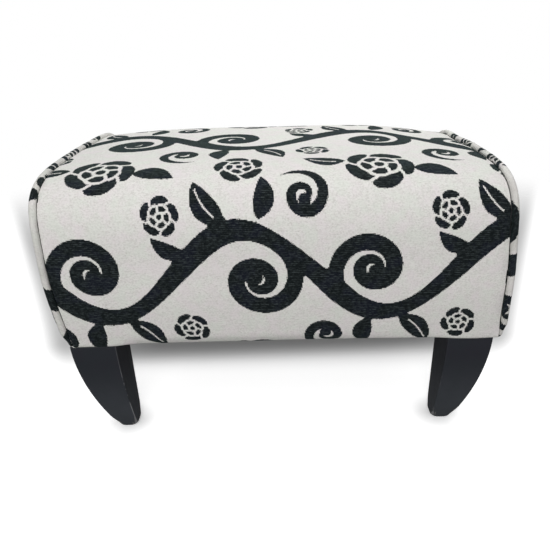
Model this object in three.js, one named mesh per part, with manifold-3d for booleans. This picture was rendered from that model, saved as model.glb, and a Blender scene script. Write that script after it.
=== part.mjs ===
// Upholstered footstool: a pine box frame on four curved corner legs, a foam seat under one wrapped
// cover that runs from the front hem over the top to the back hem, and two end panels sewn to it
// along piped seams. Millimetres, +Z up, +X to the right, -Y to the front.
// The origin is on the floor, under the middle of the stool.
import * as THREE from "three";
import { mergeVertices } from "three/addons/utils/BufferGeometryUtils.js";
import Module from "manifold-3d";

const wasm = await Module();
wasm.setup();

// Frame of four rails, a brace and a seat board.
const frameLength = 478;
const frameDepth = 314;
const railHeight = 92;
const railThickness = 20;
const braceHeight = 45;
const boardThickness = 12;
const breatherDiameter = 28;
const breatherSpacing = 105;

// Soft layers.
const foamThickness = 75;
const paddingThickness = 8;
const fabricThickness = 1.6;
const dustClothThickness = 1;
const dustClothMargin = 12;
const topCrownHeight = 8;
const wallCrownDepth = 3;
const endCrownDepth = 13;
const shoulderSwellDepth = 5.5;
const shoulderHeight = 72;
const hemTurn = 24;
const hemRadius = 4.5;

// Piped seams.
const pipingDiameter = 8;
const pipingProud = 4;

// Legs.
const legHeight = 138;
const legTopSide = 53;
const footSide = 24;
const legSetback = 5;
const legArris = 1.8;
const footOuterRound = 2;
const footInnerRound = 7;

// Leg fixings.
const boltDiameter = 8;
const boltInLeg = 34;
const boltPastNut = 4;
const boltPoint = 2.5;
const boltInset = 16;
const nutFlangeDiameter = 19;
const nutFlangeThickness = 1.5;
const nutBarrelDiameter = 11;
const nutBarrelLength = 10;
const prongWidth = 3.5;
const prongThickness = 1.4;
const prongLength = 7;

// Corner blocks and screws.
const blockSide = 72;
const blockTip = 12;
const blockHeight = 36;
const screwDiameter = 4;
const screwHeadDiameter = 8;
const screwHeadHeight = 2.6;
const screwPoint = 5;
const boardScrewLength = 40;
const boardScrewFromEnd = 49;
const blockScrewLength = 32;
const blockScrewInBlock = 14;
const blockScrewFromTip = 20;

// Running clearances: between layers, round a sewn seam, and round a screw or bolt.
const layerGap = 0.3;
const seamGap = 0.6;
const boreGap = 0.3;
const cutOverrun = 2;

// Plain numbers: powers of the curves, and how finely each is stepped.
const topPower = 5.6;
const crownPower = 4;
const endPower = 5;
const legPower = 1.8;
const hemSteps = 2;
const wallSteps = 2;
const shoulderSteps = 12;
const lengthSteps = 14;
const endRings = 5;
const legSteps = 14;
const cornerSteps = 3;
const footSteps = 3;
const pipingSteps = 60;
const pipingSides = 10;
const roundSides = 12;
const screwSides = 8;
const prongCount = 4;

const fabricColour = 0xdcd8d2;
const pipingColour = 0x8b8986;
const legColour = 0x1d1c1f;
const pineColour = 0xd6b98a;
const plyColour = 0xc7a877;
const foamColour = 0xe9dfb8;
const paddingColour = 0xf2f2ef;
const dustClothColour = 0x17171a;
const steelColour = 0xb8b8b4;

// Levels, from the floor up.
const hemLevel = legHeight + dustClothThickness;
const railLevel = hemLevel + fabricThickness;
const boardLevel = railLevel + railHeight;
const foamLevel = boardLevel + boardThickness;
const topLevel = foamLevel + foamThickness + layerGap + paddingThickness + layerGap + fabricThickness;
const shoulderLevel = hemLevel + shoulderHeight;

// Half sizes, from the frame outwards.
const frameHalfX = frameLength / 2;
const frameHalfY = frameDepth / 2;
const softBuild = layerGap + paddingThickness + layerGap + fabricThickness;
const hemHalfY = frameHalfY + softBuild;
const shoulderHalfY = hemHalfY + shoulderSwellDepth;
const endFaceX = frameHalfX + softBuild;
const pipingRadius = pipingDiameter / 2;
const pipingSink = pipingRadius - pipingProud;
const pipingX = endFaceX - pipingSink;
const seamX = pipingX - pipingRadius - layerGap;
const endPanelInset = pipingSink + pipingRadius + seamGap;
const endHemRadius = Math.min(hemRadius, endFaceX - seamX - layerGap);
const legOuterX = endFaceX - legSetback;
const legOuterY = hemHalfY - legSetback;
const boltX = legOuterX - legTopSide + boltInset;
const boltY = legOuterY - legTopSide + boltInset;

const material = (name, color, roughness, metalness = 0) =>
  new THREE.MeshStandardMaterial({ name, color, roughness, metalness });
const materials = {
  fabric: material("cover_fabric", fabricColour, 0.9),
  piping: material("piping_fabric", pipingColour, 0.9),
  leg: material("black_leg_paint", legColour, 0.4),
  pine: material("pine", pineColour, 0.7),
  ply: material("plywood", plyColour, 0.7),
  foam: material("foam", foamColour, 0.95),
  padding: material("polyester_padding", paddingColour, 1),
  dustCloth: material("dust_cloth", dustClothColour, 0.95),
  steel: material("zinc_steel", steelColour, 0.35, 1),
};

const stool = new THREE.Group();
stool.name = "footstool";

function place(name, geometry, surface, parent = stool, x = 0, y = 0, z = 0) {
  const mesh = new THREE.Mesh(geometry, surface);
  mesh.name = name;
  mesh.position.set(x, y, z);
  parent.add(mesh);
  return mesh;
}

// Geometry helpers.

// A closed geometry from points and faces, turned round if its faces point inwards.
function closedGeometry(points, faces) {
  let volume = 0;
  for (const [a, b, c] of faces) {
    volume += points[a].dot(new THREE.Vector3().crossVectors(points[b], points[c]));
  }
  const index = faces.flatMap(([a, b, c]) => (volume < 0 ? [a, c, b] : [a, b, c]));
  const geometry = new THREE.BufferGeometry().setFromPoints(points);
  geometry.setIndex(index);
  geometry.computeVertexNormals();
  return geometry;
}

// Two triangles for each cell between two lists of point numbers, closed end to end if wrapped.
// Crossed cells are divided the other way, so that both faces of a layer can be divided alike.
function strip(lower, upper, wrapped, crossed) {
  const count = wrapped ? lower.length : lower.length - 1;
  return Array.from({ length: count }, (_, i) => {
    const j = (i + 1) % lower.length;
    const from = crossed ? j : i;
    const to = crossed ? i : j;
    return [
      [lower[i], lower[j], upper[to]],
      [lower[from], upper[j], upper[i]],
    ];
  }).flat();
}

// A sheet with a thickness: the space between two grids of points with the same rows and columns.
function sheetBetween(outerRows, innerRows) {
  const rows = outerRows.length;
  const columns = outerRows[0].length;
  const points = [...outerRows.flat(), ...innerRows.flat()];
  const outer = (i) => Array.from({ length: columns }, (_, j) => i * columns + j);
  const inner = (i) => outer(i).map((n) => n + rows * columns);
  const faces = [];
  for (let i = 0; i + 1 < rows; i++) {
    faces.push(...strip(outer(i), outer(i + 1)));
    faces.push(...strip(inner(i + 1), inner(i), false, true));
  }
  faces.push(...strip(inner(0), outer(0)), ...strip(outer(rows - 1), inner(rows - 1)));
  const side = (edge, at) => Array.from({ length: rows }, (_, i) => edge(i)[at]);
  faces.push(...strip(side(outer, 0), side(inner, 0)));
  faces.push(...strip(side(inner, columns - 1), side(outer, columns - 1)));
  return closedGeometry(points, faces);
}

// A solid through closed rings of points, with a fan from the middle of the first and last ring.
// The cells before the turning ring are crossed.
function solidThrough(rings, turningRing = 0) {
  const count = rings[0].length;
  const middle = (ring) =>
    ring.reduce((sum, p) => sum.add(p), new THREE.Vector3()).divideScalar(ring.length);
  const points = [...rings.flat(), middle(rings[0]), middle(rings.at(-1))];
  const ring = (i) => Array.from({ length: count }, (_, j) => i * count + j);
  const faces = [];
  for (let i = 0; i + 1 < rings.length; i++) {
    faces.push(...strip(ring(i), ring(i + 1), true, i < turningRing));
  }
  const firstMiddle = rings.length * count;
  const fan = (edge, centre) => edge.map((a, j) => [centre, edge[(j + 1) % count], a]);
  faces.push(...fan(ring(0), firstMiddle));
  faces.push(...fan([...ring(rings.length - 1)].reverse(), firstMiddle + 1));
  return closedGeometry(points, faces);
}

// A geometry as a solid that can be cut and joined.
function solid(geometry, x = 0, y = 0, z = 0) {
  const bare = geometry.clone().translate(x, y, z);
  bare.deleteAttribute("normal");
  bare.deleteAttribute("uv");
  const merged = mergeVertices(bare);
  return new wasm.Manifold(
    new wasm.Mesh({
      numProp: 3,
      vertProperties: merged.attributes.position.array,
      triVerts: new Uint32Array(merged.index.array),
    }),
  );
}

function geometryOf(cut) {
  const mesh = cut.getMesh();
  const geometry = new THREE.BufferGeometry();
  geometry.setAttribute("position", new THREE.BufferAttribute(mesh.vertProperties, 3));
  geometry.setIndex(new THREE.BufferAttribute(mesh.triVerts, 1));
  geometry.computeVertexNormals();
  return geometry;
}

const without = (body, cutters) => cutters.reduce((left, cutter) => left.subtract(cutter), body);

const box = (x, y, z) => new THREE.BoxGeometry(x, y, z);

// A turned piece about +Z, from the radii and heights of its outline.
function turned(outline, sides = roundSides) {
  return new THREE.LatheGeometry(
    outline.map(([radius, height]) => new THREE.Vector2(radius, height)),
    sides,
  ).rotateX(Math.PI / 2);
}

const rod = (radius, low, high, sides = roundSides) =>
  turned([[0, low], [radius, low], [radius, high], [0, high]], sides);

// The wrapped cover's outline, seen from the end.

// Half of it, from the front hem to the middle of the top, as points with outward directions.
// The wall swells from the hem to the shoulder, and a superellipse carries it over to the top.
function frontOutline() {
  const points = [];
  for (let i = 0; i <= wallSteps; i++) {
    const share = i / wallSteps;
    const swell = shoulderSwellDepth * Math.sin((share * Math.PI) / 2);
    const lean = shoulderSwellDepth * (Math.PI / 2) * Math.cos((share * Math.PI) / 2);
    const wallBottom = hemLevel + hemRadius;
    const rise = shoulderLevel - wallBottom;
    points.push({
      at: new THREE.Vector2(-(hemHalfY + swell), wallBottom + share * rise),
      out: new THREE.Vector2(-rise, -lean).normalize(),
    });
  }
  const height = topLevel - shoulderLevel;
  for (let i = 1; i <= shoulderSteps; i++) {
    const angle = ((i / shoulderSteps) * Math.PI) / 2;
    const across = Math.cos(angle) ** (2 / topPower);
    const up = Math.sin(angle) ** (2 / topPower);
    points.push({
      at: new THREE.Vector2(-shoulderHalfY * across, shoulderLevel + height * up),
      out: new THREE.Vector2(
        -(across ** (topPower - 1)) / shoulderHalfY,
        up ** (topPower - 1) / height,
      ).normalize(),
    });
  }
  return points;
}

const mirrored = ({ at, out }) => ({
  at: new THREE.Vector2(-at.x, at.y),
  out: new THREE.Vector2(-out.x, out.y),
});

const frontHalf = frontOutline();
const wrapOutline = [...frontHalf, ...frontHalf.slice(0, -1).reverse().map(mirrored)];

// The hem's turned-under edge at the front, from its raw edge to the bottom of the wall.
function hemOutline() {
  const down = new THREE.Vector2(0, -1);
  const points = [{ at: new THREE.Vector2(-(hemHalfY - hemTurn), hemLevel), out: down }];
  for (let i = 0; i < hemSteps; i++) {
    const angle = ((i / hemSteps) * Math.PI) / 2;
    const out = new THREE.Vector2(-Math.sin(angle), -Math.cos(angle));
    const centre = new THREE.Vector2(-(hemHalfY - hemRadius), hemLevel + hemRadius);
    points.push({ at: centre.addScaledVector(out, hemRadius), out });
  }
  return points;
}

const frontHem = hemOutline();
const coverOutline = [...frontHem, ...wrapOutline, ...[...frontHem].reverse().map(mirrored)];

// The outline moved inwards, kept within a half depth where one is given.
function inset(outline, depth, halfDepth = Infinity) {
  return outline.map(({ at, out }) => {
    const moved = at.clone().addScaledVector(out, -depth);
    moved.x = Math.sign(moved.x) * Math.min(Math.abs(moved.x), halfDepth);
    return moved;
  });
}

// How far the stuffed cover stands off its outline: nothing at the hem, a little on the walls and
// most on the top, and falling away to nothing at the two seams.
function crown({ at }, x) {
  const wallShare = THREE.MathUtils.clamp((at.y - hemLevel) / shoulderHeight, 0, 1);
  const topShare = THREE.MathUtils.smoothstep(at.y, shoulderLevel, topLevel);
  const fullness = wallCrownDepth * wallShare + (topCrownHeight - wallCrownDepth) * topShare;
  return fullness * (1 - Math.min(1, Math.abs(x) / seamX) ** crownPower);
}

// Rows of points along X, closer together near the seams, for an outline moved inwards. The rows of
// every layer stand at the same places over the frame, so that the layers lie evenly on each other.
const overFrame = Array.from(
  { length: lengthSteps + 1 },
  (_, i) => frameHalfX * Math.sin((i / lengthSteps - 1 / 2) * Math.PI),
);
const overSeams = [-seamX, ...overFrame, seamX];

function crownedRows(outline, depth, stations, halfDepth) {
  const moved = inset(outline, depth, halfDepth);
  return stations.map((x) =>
    moved.map((point, j) => {
      const { out } = outline[j];
      const lift = crown(outline[j], x);
      return new THREE.Vector3(x, point.x + out.x * lift, point.y + out.y * lift);
    }),
  );
}

// Soft pieces.

function mainCover() {
  return sheetBetween(
    crownedRows(coverOutline, 0, overSeams),
    crownedRows(coverOutline, fabricThickness, overSeams),
  );
}

// The padding fills from the cover down to the foam and rails, which stand straight.
function wrapPadding() {
  const outerRows = crownedRows(wrapOutline, fabricThickness + layerGap, overSeams);
  const depth = fabricThickness + layerGap + paddingThickness;
  const innerRows = crownedRows(wrapOutline, depth, overSeams).map((row) =>
    row.map((point) => {
      const limit = frameHalfY + layerGap;
      return new THREE.Vector3(point.x, Math.sign(point.y) * Math.min(Math.abs(point.y), limit), point.z);
    }),
  );
  return sheetBetween(outerRows, innerRows);
}

function foamPad() {
  const rings = crownedRows(wrapOutline, softBuild, overFrame).map((row) =>
    row.map((point) => {
      const y = Math.sign(point.y) * Math.min(Math.abs(point.y), frameHalfY);
      return new THREE.Vector3(point.x, y, point.z);
    }),
  );
  const below = box(frameLength + cutOverrun, frameDepth + cutOverrun, foamLevel);
  return geometryOf(solid(solidThrough(rings)).subtract(solid(below, 0, 0, foamLevel / 2)));
}

// A crowned end panel or pad: rings of its outline drawn in towards a middle point, swelling as they go.
function endRows(outline, faceX, fullness) {
  const middle = new THREE.Vector2(0, (hemLevel + topLevel) / 2);
  return Array.from({ length: endRings }, (_, i) => {
    const share = 1 - i / endRings;
    const x = faceX + fullness * (1 - share ** endPower);
    return outline.map((p) => {
      const at = middle.clone().lerp(p, share);
      return new THREE.Vector3(x, at.x, at.y);
    });
  });
}

function endSolid(outline, outerX, outerFullness, innerX, innerFullness) {
  const outer = endRows(outline, outerX, outerFullness);
  const inner = endRows(outline, innerX, innerFullness);
  return solidThrough([...inner.reverse(), ...outer], endRings - 1);
}

function endPanel() {
  const outline = inset(wrapOutline, endPanelInset);
  const panel = solid(endSolid(outline, endFaceX, endCrownDepth, endFaceX - fabricThickness, endCrownDepth));
  // Below the panel the fabric turns under the end rail, between the main cover's two hems.
  const wallBottom = Math.max(...[outline[0].y, outline.at(-1).y]);
  const turn = new THREE.Shape();
  turn.moveTo(endFaceX, wallBottom);
  turn.lineTo(endFaceX, hemLevel + endHemRadius);
  turn.absarc(endFaceX - endHemRadius, hemLevel + endHemRadius, endHemRadius, 0, -Math.PI / 2, true);
  turn.lineTo(endFaceX - hemTurn, hemLevel);
  turn.lineTo(endFaceX - hemTurn, railLevel);
  turn.lineTo(endFaceX - endHemRadius, railLevel);
  turn.absarc(
    endFaceX - endHemRadius,
    hemLevel + endHemRadius,
    endHemRadius - fabricThickness,
    -Math.PI / 2,
    0,
    false,
  );
  turn.lineTo(endFaceX - fabricThickness, wallBottom);
  const turnHalfY = hemHalfY - hemTurn - seamGap;
  const under = new THREE.ExtrudeGeometry(turn, {
    depth: 2 * turnHalfY,
    bevelEnabled: false,
    curveSegments: hemSteps,
  });
  under.rotateX(Math.PI / 2).translate(0, turnHalfY, 0);
  return geometryOf(panel.add(solid(under)));
}

function endPadding() {
  const outline = inset(wrapOutline, softBuild, frameHalfY);
  const outerX = endFaceX - fabricThickness - layerGap;
  return endSolid(outline, outerX, endCrownDepth, frameHalfX + layerGap, 0);
}

// The piping follows the seam from the front hem over the top to the back hem.
function piping() {
  const seam = inset(wrapOutline, pipingSink);
  const foot = (point) => new THREE.Vector2(point.x, hemLevel);
  const route = [foot(seam[0]), ...seam, foot(seam.at(-1))];
  const path = new THREE.CatmullRomCurve3(
    route.map((p) => new THREE.Vector3(0, p.x, p.y)),
    false,
    "centripetal",
  );
  const section = new THREE.Shape().absarc(0, 0, pipingRadius, 0, 2 * Math.PI, false);
  return new THREE.ExtrudeGeometry(section, {
    steps: pipingSteps,
    curveSegments: pipingSides / 2,
    extrudePath: path,
  });
}

function dustCloth() {
  const sheet = box(
    2 * (endFaceX - dustClothMargin),
    2 * (hemHalfY - dustClothMargin),
    dustClothThickness,
  );
  const holes = corners.map(({ sx, sy }) =>
    solid(
      rod(boltDiameter / 2 + boreGap, -cutOverrun, dustClothThickness + cutOverrun),
      sx * boltX,
      sy * boltY,
    ),
  );
  return geometryOf(without(solid(sheet, 0, 0, dustClothThickness / 2), holes));
}

// Fixings.

// A countersunk wood screw, head up at z = 0 and its point down.
function screw(length) {
  const radius = screwDiameter / 2;
  return turned(
    [
      [0, -length],
      [radius, screwPoint - length],
      [radius, -screwHeadHeight],
      [screwHeadDiameter / 2, 0],
      [0, 0],
    ],
    screwSides,
  );
}

// What a screw is driven into: its own outline with the bore clearance all round.
function screwBore(length) {
  const radius = screwDiameter / 2 + boreGap;
  const headRadius = screwHeadDiameter / 2 + boreGap;
  return turned(
    [
      [0, -length - boreGap],
      [radius, -length - boreGap],
      [radius, -screwHeadHeight],
      [headRadius, 0],
      [headRadius, cutOverrun],
      [0, cutOverrun],
    ],
    screwSides,
  );
}

const nutTop = blockHeight + nutFlangeThickness;
const boltTop = dustClothThickness + fabricThickness + nutTop + boltPastNut;

// The leg's hanger bolt, from its point in the leg to its end past the nut, with z = 0 at the leg's top.
function hangerBolt() {
  const radius = boltDiameter / 2;
  return turned([
    [0, -boltInLeg],
    [radius - boltPoint / 2, -boltInLeg + boltPoint / 2],
    [radius, -boltInLeg + 2 * boltPoint],
    [radius, boltTop - boltPoint / 2],
    [radius - boltPoint / 2, boltTop],
    [0, boltTop],
  ]);
}

// Prongs of a tee nut: flat blades under the flange, with a clearance where they are cut into wood.
function prongs(gap) {
  const radial = (nutBarrelDiameter + nutFlangeDiameter) / 4;
  return Array.from({ length: prongCount }, (_, i) => {
    const blade = box(prongThickness + 2 * gap, prongWidth + 2 * gap, prongLength + gap);
    blade.translate(radial, 0, (nutFlangeThickness - prongLength - gap) / 2);
    return solid(blade.rotateZ((2 * Math.PI * i) / prongCount));
  });
}

// The tee nut, with z = 0 at the underside of its flange.
function teeNut() {
  const bore = boltDiameter / 2 + boreGap;
  const body = turned([
    [bore, -nutBarrelLength],
    [nutBarrelDiameter / 2, -nutBarrelLength],
    [nutBarrelDiameter / 2, 0],
    [nutFlangeDiameter / 2, 0],
    [nutFlangeDiameter / 2, nutFlangeThickness],
    [bore, nutFlangeThickness],
    [bore, -nutBarrelLength],
  ]);
  return geometryOf(prongs(0).reduce((sum, prong) => sum.add(prong), solid(body)));
}

// Leg: its two inner faces stand plumb, and its two outer faces curve in to the foot.

// One level of the leg as a ring of points: the inner corner is at x = y = 0 and the leg grows outwards.
function legRing(outer, inner, level, sx, sy) {
  const radius = Math.min(legArris, (outer - inner) / 2);
  const corner = [
    [outer - radius, outer - radius],
    [inner + radius, outer - radius],
    [inner + radius, inner + radius],
    [outer - radius, inner + radius],
  ];
  return corner.flatMap(([x, y], quarter) =>
    Array.from({ length: cornerSteps + 1 }, (_, i) => {
      const angle = ((quarter + i / cornerSteps) * Math.PI) / 2;
      return new THREE.Vector3(
        sx * (x + radius * Math.cos(angle)),
        sy * (y + radius * Math.sin(angle)),
        level,
      );
    }),
  );
}

function leg(sx, sy) {
  const rings = [];
  const outerAt = (level) => {
    const down = 1 - level / legHeight;
    return legTopSide - (legTopSide - footSide) * down ** legPower;
  };
  const rounded = (radius, level) => {
    const left = Math.max(0, radius - level);
    return radius - Math.sqrt(radius ** 2 - left ** 2);
  };
  for (let i = 0; i <= footSteps; i++) {
    const level = footInnerRound * (1 - Math.cos(((i / footSteps) * Math.PI) / 2));
    const outer = outerAt(level) - rounded(footOuterRound, level);
    rings.push(legRing(outer, rounded(footInnerRound, level), level, sx, sy));
  }
  for (let i = 1; i <= legSteps; i++) {
    const level = footInnerRound + ((legHeight - footInnerRound) * i) / legSteps;
    rings.push(legRing(outerAt(level), 0, level, sx, sy));
  }
  const pilot = rod(
    boltDiameter / 2 + boreGap,
    legHeight - boltInLeg - boreGap,
    legHeight + cutOverrun,
  );
  return geometryOf(solid(solidThrough(rings)).subtract(solid(pilot, sx * boltInset, sy * boltInset)));
}

// Corner block: a right triangle with its two tips cut off, with z = 0 at its underside and its right
// angle at x = y = 0, growing inwards. It is bored for the bolt and for one screw into each rail.
const boltFromRailX = frameHalfX - railThickness - boltX;
const boltFromRailY = frameHalfY - railThickness - boltY;
const blockScrewAt = blockSide - blockScrewFromTip;

function cornerBlock(sx, sy) {
  const outline = new THREE.Shape(
    [
      [0, 0],
      [blockSide, 0],
      [blockSide, blockTip],
      [blockTip, blockSide],
      [0, blockSide],
    ].map(([x, y]) => new THREE.Vector2(x, y)),
  );
  const block = solid(new THREE.ExtrudeGeometry(outline, { depth: blockHeight, bevelEnabled: false }));
  const barrel = rod(nutBarrelDiameter / 2 + boreGap, -cutOverrun, blockHeight + cutOverrun);
  const cutters = [solid(barrel, boltFromRailX, boltFromRailY)];
  for (const prong of prongs(boreGap)) {
    cutters.push(prong.translate([boltFromRailX, boltFromRailY, blockHeight]));
  }
  for (const alongX of [true, false]) {
    cutters.push(solid(blockScrewGeometry(screwBore(blockScrewLength), alongX)));
    const headBore = rod(screwHeadDiameter / 2 + boreGap, 0, blockSide, screwSides);
    cutters.push(solid(blockScrewGeometry(headBore, alongX)));
  }
  const cut = without(block, cutters).scale([-sx, -sy, 1]);
  return geometryOf(cut);
}

// Turns a screw-shaped piece to go through a corner block into the end rail or the long rail.
function blockScrewGeometry(piece, alongX) {
  const turnedPiece = alongX ? piece.rotateY(Math.PI / 2) : piece.rotateX(-Math.PI / 2);
  const seat = blockScrewInBlock;
  return alongX
    ? turnedPiece.translate(seat, blockScrewAt, blockHeight / 2)
    : turnedPiece.translate(blockScrewAt, seat, blockHeight / 2);
}

// Where the pieces go.

const corners = [
  { end: "front_left", sx: -1, sy: -1 },
  { end: "front_right", sx: 1, sy: -1 },
  { end: "back_left", sx: -1, sy: 1 },
  { end: "back_right", sx: 1, sy: 1 },
];
const ends = [
  { end: "left", sx: -1 },
  { end: "right", sx: 1 },
];
const sides = [
  { side: "front", sy: -1 },
  { side: "back", sy: 1 },
];

const longRailY = frameHalfY - railThickness / 2;
const endRailX = frameHalfX - railThickness / 2;

// Board screws: three into each long rail and one into each end rail.
const boardScrews = [
  ...sides.flatMap(({ side, sy }) =>
    [-1, 0, 1].map((step, i) => ({
      name: `board_screw_${side}_${i + 1}`,
      x: step * (frameHalfX - boardScrewFromEnd),
      y: sy * longRailY,
    })),
  ),
  ...ends.map(({ end, sx }) => ({ name: `board_screw_${end}`, x: sx * endRailX, y: 0 })),
];
const boardBores = boardScrews.map(({ x, y }) => solid(screwBore(boardScrewLength), x, y, foamLevel));

// Bores that the corner blocks' screws make in the rails, in the part's own frame.
const blockBores = corners.flatMap(({ sx, sy }) =>
  [true, false].map((alongX) =>
    solid(blockScrewGeometry(screwBore(blockScrewLength), alongX))
      .scale([-sx, -sy, 1])
      .translate([sx * (frameHalfX - railThickness), sy * (frameHalfY - railThickness), railLevel]),
  ),
);

function rail(length, depth, height, x, y, z) {
  const body = solid(box(length, depth, height), x, y, z + height / 2);
  return geometryOf(without(body, [...boardBores, ...blockBores]));
}

function seatBoard() {
  const board = solid(
    box(frameLength, frameDepth, boardThickness),
    0,
    0,
    boardLevel + boardThickness / 2,
  );
  const breathers = [-1, 1].map((step) =>
    solid(
      rod(breatherDiameter / 2, boardLevel - cutOverrun, foamLevel + cutOverrun),
      step * breatherSpacing,
    ),
  );
  return geometryOf(without(board, [...boardBores, ...breathers]));
}

const frame = new THREE.Group();
frame.name = "frame";
stool.add(frame);
for (const { side, sy } of sides) {
  place(
    `${side}_rail`,
    rail(frameLength, railThickness, railHeight, 0, sy * longRailY, railLevel),
    materials.pine,
    frame,
  );
}
for (const { end, sx } of ends) {
  place(
    `${end}_end_rail`,
    rail(railThickness, frameDepth - 2 * railThickness, railHeight, sx * endRailX, 0, railLevel),
    materials.pine,
    frame,
  );
}
place(
  "centre_brace",
  rail(railThickness, frameDepth - 2 * railThickness, braceHeight, 0, 0, boardLevel - braceHeight),
  materials.pine,
  frame,
);
place("seat_board", seatBoard(), materials.ply, frame);
for (const { name, x, y } of boardScrews) {
  place(name, screw(boardScrewLength), materials.steel, frame, x, y, foamLevel);
}

for (const { end, sx, sy } of corners) {
  const corner = new THREE.Group();
  corner.name = `${end}_corner`;
  corner.position.set(sx * (frameHalfX - railThickness), sy * (frameHalfY - railThickness), railLevel);
  stool.add(corner);
  place(`corner_block_${end}`, cornerBlock(sx, sy), materials.pine, corner);
  const screws = [
    ["end_rail", true],
    ["long_rail", false],
  ];
  for (const [into, alongX] of screws) {
    const driven = blockScrewGeometry(screw(blockScrewLength), alongX);
    const turn = solid(driven).scale([-sx, -sy, 1]);
    place(`block_screw_${end}_${into}`, geometryOf(turn), materials.steel, corner);
  }
  place(`tee_nut_${end}`, teeNut(), materials.steel, stool, sx * boltX, sy * boltY, railLevel + blockHeight);
  place(`hanger_bolt_${end}`, hangerBolt(), materials.steel, stool, sx * boltX, sy * boltY, legHeight);
  place(
    `leg_${end}`,
    leg(sx, sy),
    materials.leg,
    stool,
    sx * (legOuterX - legTopSide),
    sy * (legOuterY - legTopSide),
  );
}

const upholstery = new THREE.Group();
upholstery.name = "upholstery";
stool.add(upholstery);
place("foam_pad", foamPad(), materials.foam, upholstery);
place("wrap_padding", wrapPadding(), materials.padding, upholstery);
place("main_cover", mainCover(), materials.fabric, upholstery);
place("dust_cloth", dustCloth(), materials.dustCloth, upholstery, 0, 0, legHeight);
for (const { end, sx } of ends) {
  const half = new THREE.Group();
  half.name = `${end}_end`;
  half.rotation.z = sx > 0 ? 0 : Math.PI;
  upholstery.add(half);
  place(`end_padding_${end}`, endPadding(), materials.padding, half);
  place(`end_cover_${end}`, endPanel(), materials.fabric, half);
  place(`piping_${end}`, piping(), materials.piping, half, pipingX);
}

export default stool;
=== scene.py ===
"""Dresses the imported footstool: its cover, piping, legs, stuffing, underside and studio."""

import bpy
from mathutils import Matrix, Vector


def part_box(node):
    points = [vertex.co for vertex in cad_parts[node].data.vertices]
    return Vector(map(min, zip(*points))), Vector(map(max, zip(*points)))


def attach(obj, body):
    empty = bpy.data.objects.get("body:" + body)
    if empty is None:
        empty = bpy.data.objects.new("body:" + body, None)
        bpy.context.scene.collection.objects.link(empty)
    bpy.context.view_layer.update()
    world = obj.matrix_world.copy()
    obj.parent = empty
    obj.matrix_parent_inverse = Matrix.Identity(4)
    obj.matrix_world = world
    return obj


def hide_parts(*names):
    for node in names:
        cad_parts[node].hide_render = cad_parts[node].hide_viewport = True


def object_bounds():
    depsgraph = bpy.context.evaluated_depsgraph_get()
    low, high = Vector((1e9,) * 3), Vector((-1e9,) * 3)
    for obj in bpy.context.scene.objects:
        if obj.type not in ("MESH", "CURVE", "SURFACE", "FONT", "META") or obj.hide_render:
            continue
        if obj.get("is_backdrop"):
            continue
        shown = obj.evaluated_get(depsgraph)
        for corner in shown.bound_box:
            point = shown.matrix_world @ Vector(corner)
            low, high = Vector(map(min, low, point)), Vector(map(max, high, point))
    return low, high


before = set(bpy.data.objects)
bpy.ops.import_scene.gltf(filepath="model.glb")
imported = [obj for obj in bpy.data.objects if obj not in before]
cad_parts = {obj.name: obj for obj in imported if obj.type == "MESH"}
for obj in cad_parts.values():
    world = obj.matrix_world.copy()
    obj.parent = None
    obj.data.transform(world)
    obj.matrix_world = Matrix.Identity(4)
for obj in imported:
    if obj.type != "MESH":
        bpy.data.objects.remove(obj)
CAD_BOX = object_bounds()

import inspect
import math
from functools import cache

import bpy
import numpy as np
from bpy.props import FloatProperty, FloatVectorProperty, PointerProperty
from mathutils import Matrix, Vector

bl_info = {
    "name": "Upholstered footstool",
    "version": (1, 0, 0),
    "blender": (4, 5, 0),
    "location": "3D View > Sidebar > Footstool",
    "description": "Builds the cover, piping, legs, stuffing and underside of a piped footstool",
    "category": "Object",
}

MM = 0.001
TURN = 2 * math.pi
BODY = "root"
ENDS = {"left": -1, "right": 1}
DEPTHS = {"front": -1, "back": 1}
CORNERS = {f"{depth}_{end}": (x, y) for depth, y in DEPTHS.items() for end, x in ENDS.items()}

# Where each end panel and each piping's strip was cut from the fabric: across and along, in metres.
PANEL_CUTS = {"left": (0.08, 0.002), "right": (0.096, 0.138)}
STRIP_CUTS = {"left": (0.21, 0.262), "right": (0.03, -0.003)}

# Widths in metres that hold for several pieces.
LAYER_GAP = 0.3 * MM
HALF_FOOT = 12 * MM


def box(name):
    """The low and high corners of the box round a piece of the frame, in metres."""
    return np.array(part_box(name))


RAIL_LOW, RAIL_HIGH = box("front_rail")
COVER_HIGH = box("main_cover")[1]
PIPING_LOW, PIPING_HIGH = box("piping_right")
BOARD_LOW, BOARD_HIGH = box("seat_board")
CLOTH_LOW, CLOTH_HIGH = box("dust_cloth")
LEG_LOW, LEG_HIGH = box("leg_front_right")
CORD_RADIUS = float(PIPING_HIGH[0] - PIPING_LOW[0]) / 2
# How far from the middle the legs' inner faces and the middles of the feet lie, along x and y.
INNER_LEG = np.array([LEG_LOW[0], -LEG_HIGH[1]])
FOOT = INNER_LEG + HALF_FOOT


def number(name, value, description, **kind):
    """A plain factor, or a size of the given unit or subtype."""
    return FloatProperty(name=name, description=description, default=value, **kind)


def length(name, millimetres, description):
    """A length, kept in metres and written here in millimetres."""
    return number(name, millimetres * MM, description, unit="LENGTH", subtype="DISTANCE", precision=5)


def angle(name, radians, description):
    """An angle."""
    return number(name, radians, description, subtype="ANGLE")


def power(name, watts, description):
    """The power of a lamp."""
    return number(name, watts, description, unit="POWER")


def point(name, place, description):
    """A place in metres."""
    kind = {"unit": "LENGTH", "size": 3, "precision": 5}
    return FloatVectorProperty(name=name, description=description, default=place, **kind)


def colour(name, red, green, blue, description):
    """A colour, as linear light."""
    kind = {"subtype": "COLOR", "size": 3, "min": 0, "max": 1}
    return FloatVectorProperty(name=name, description=description, default=(red, green, blue), **kind)


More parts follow.
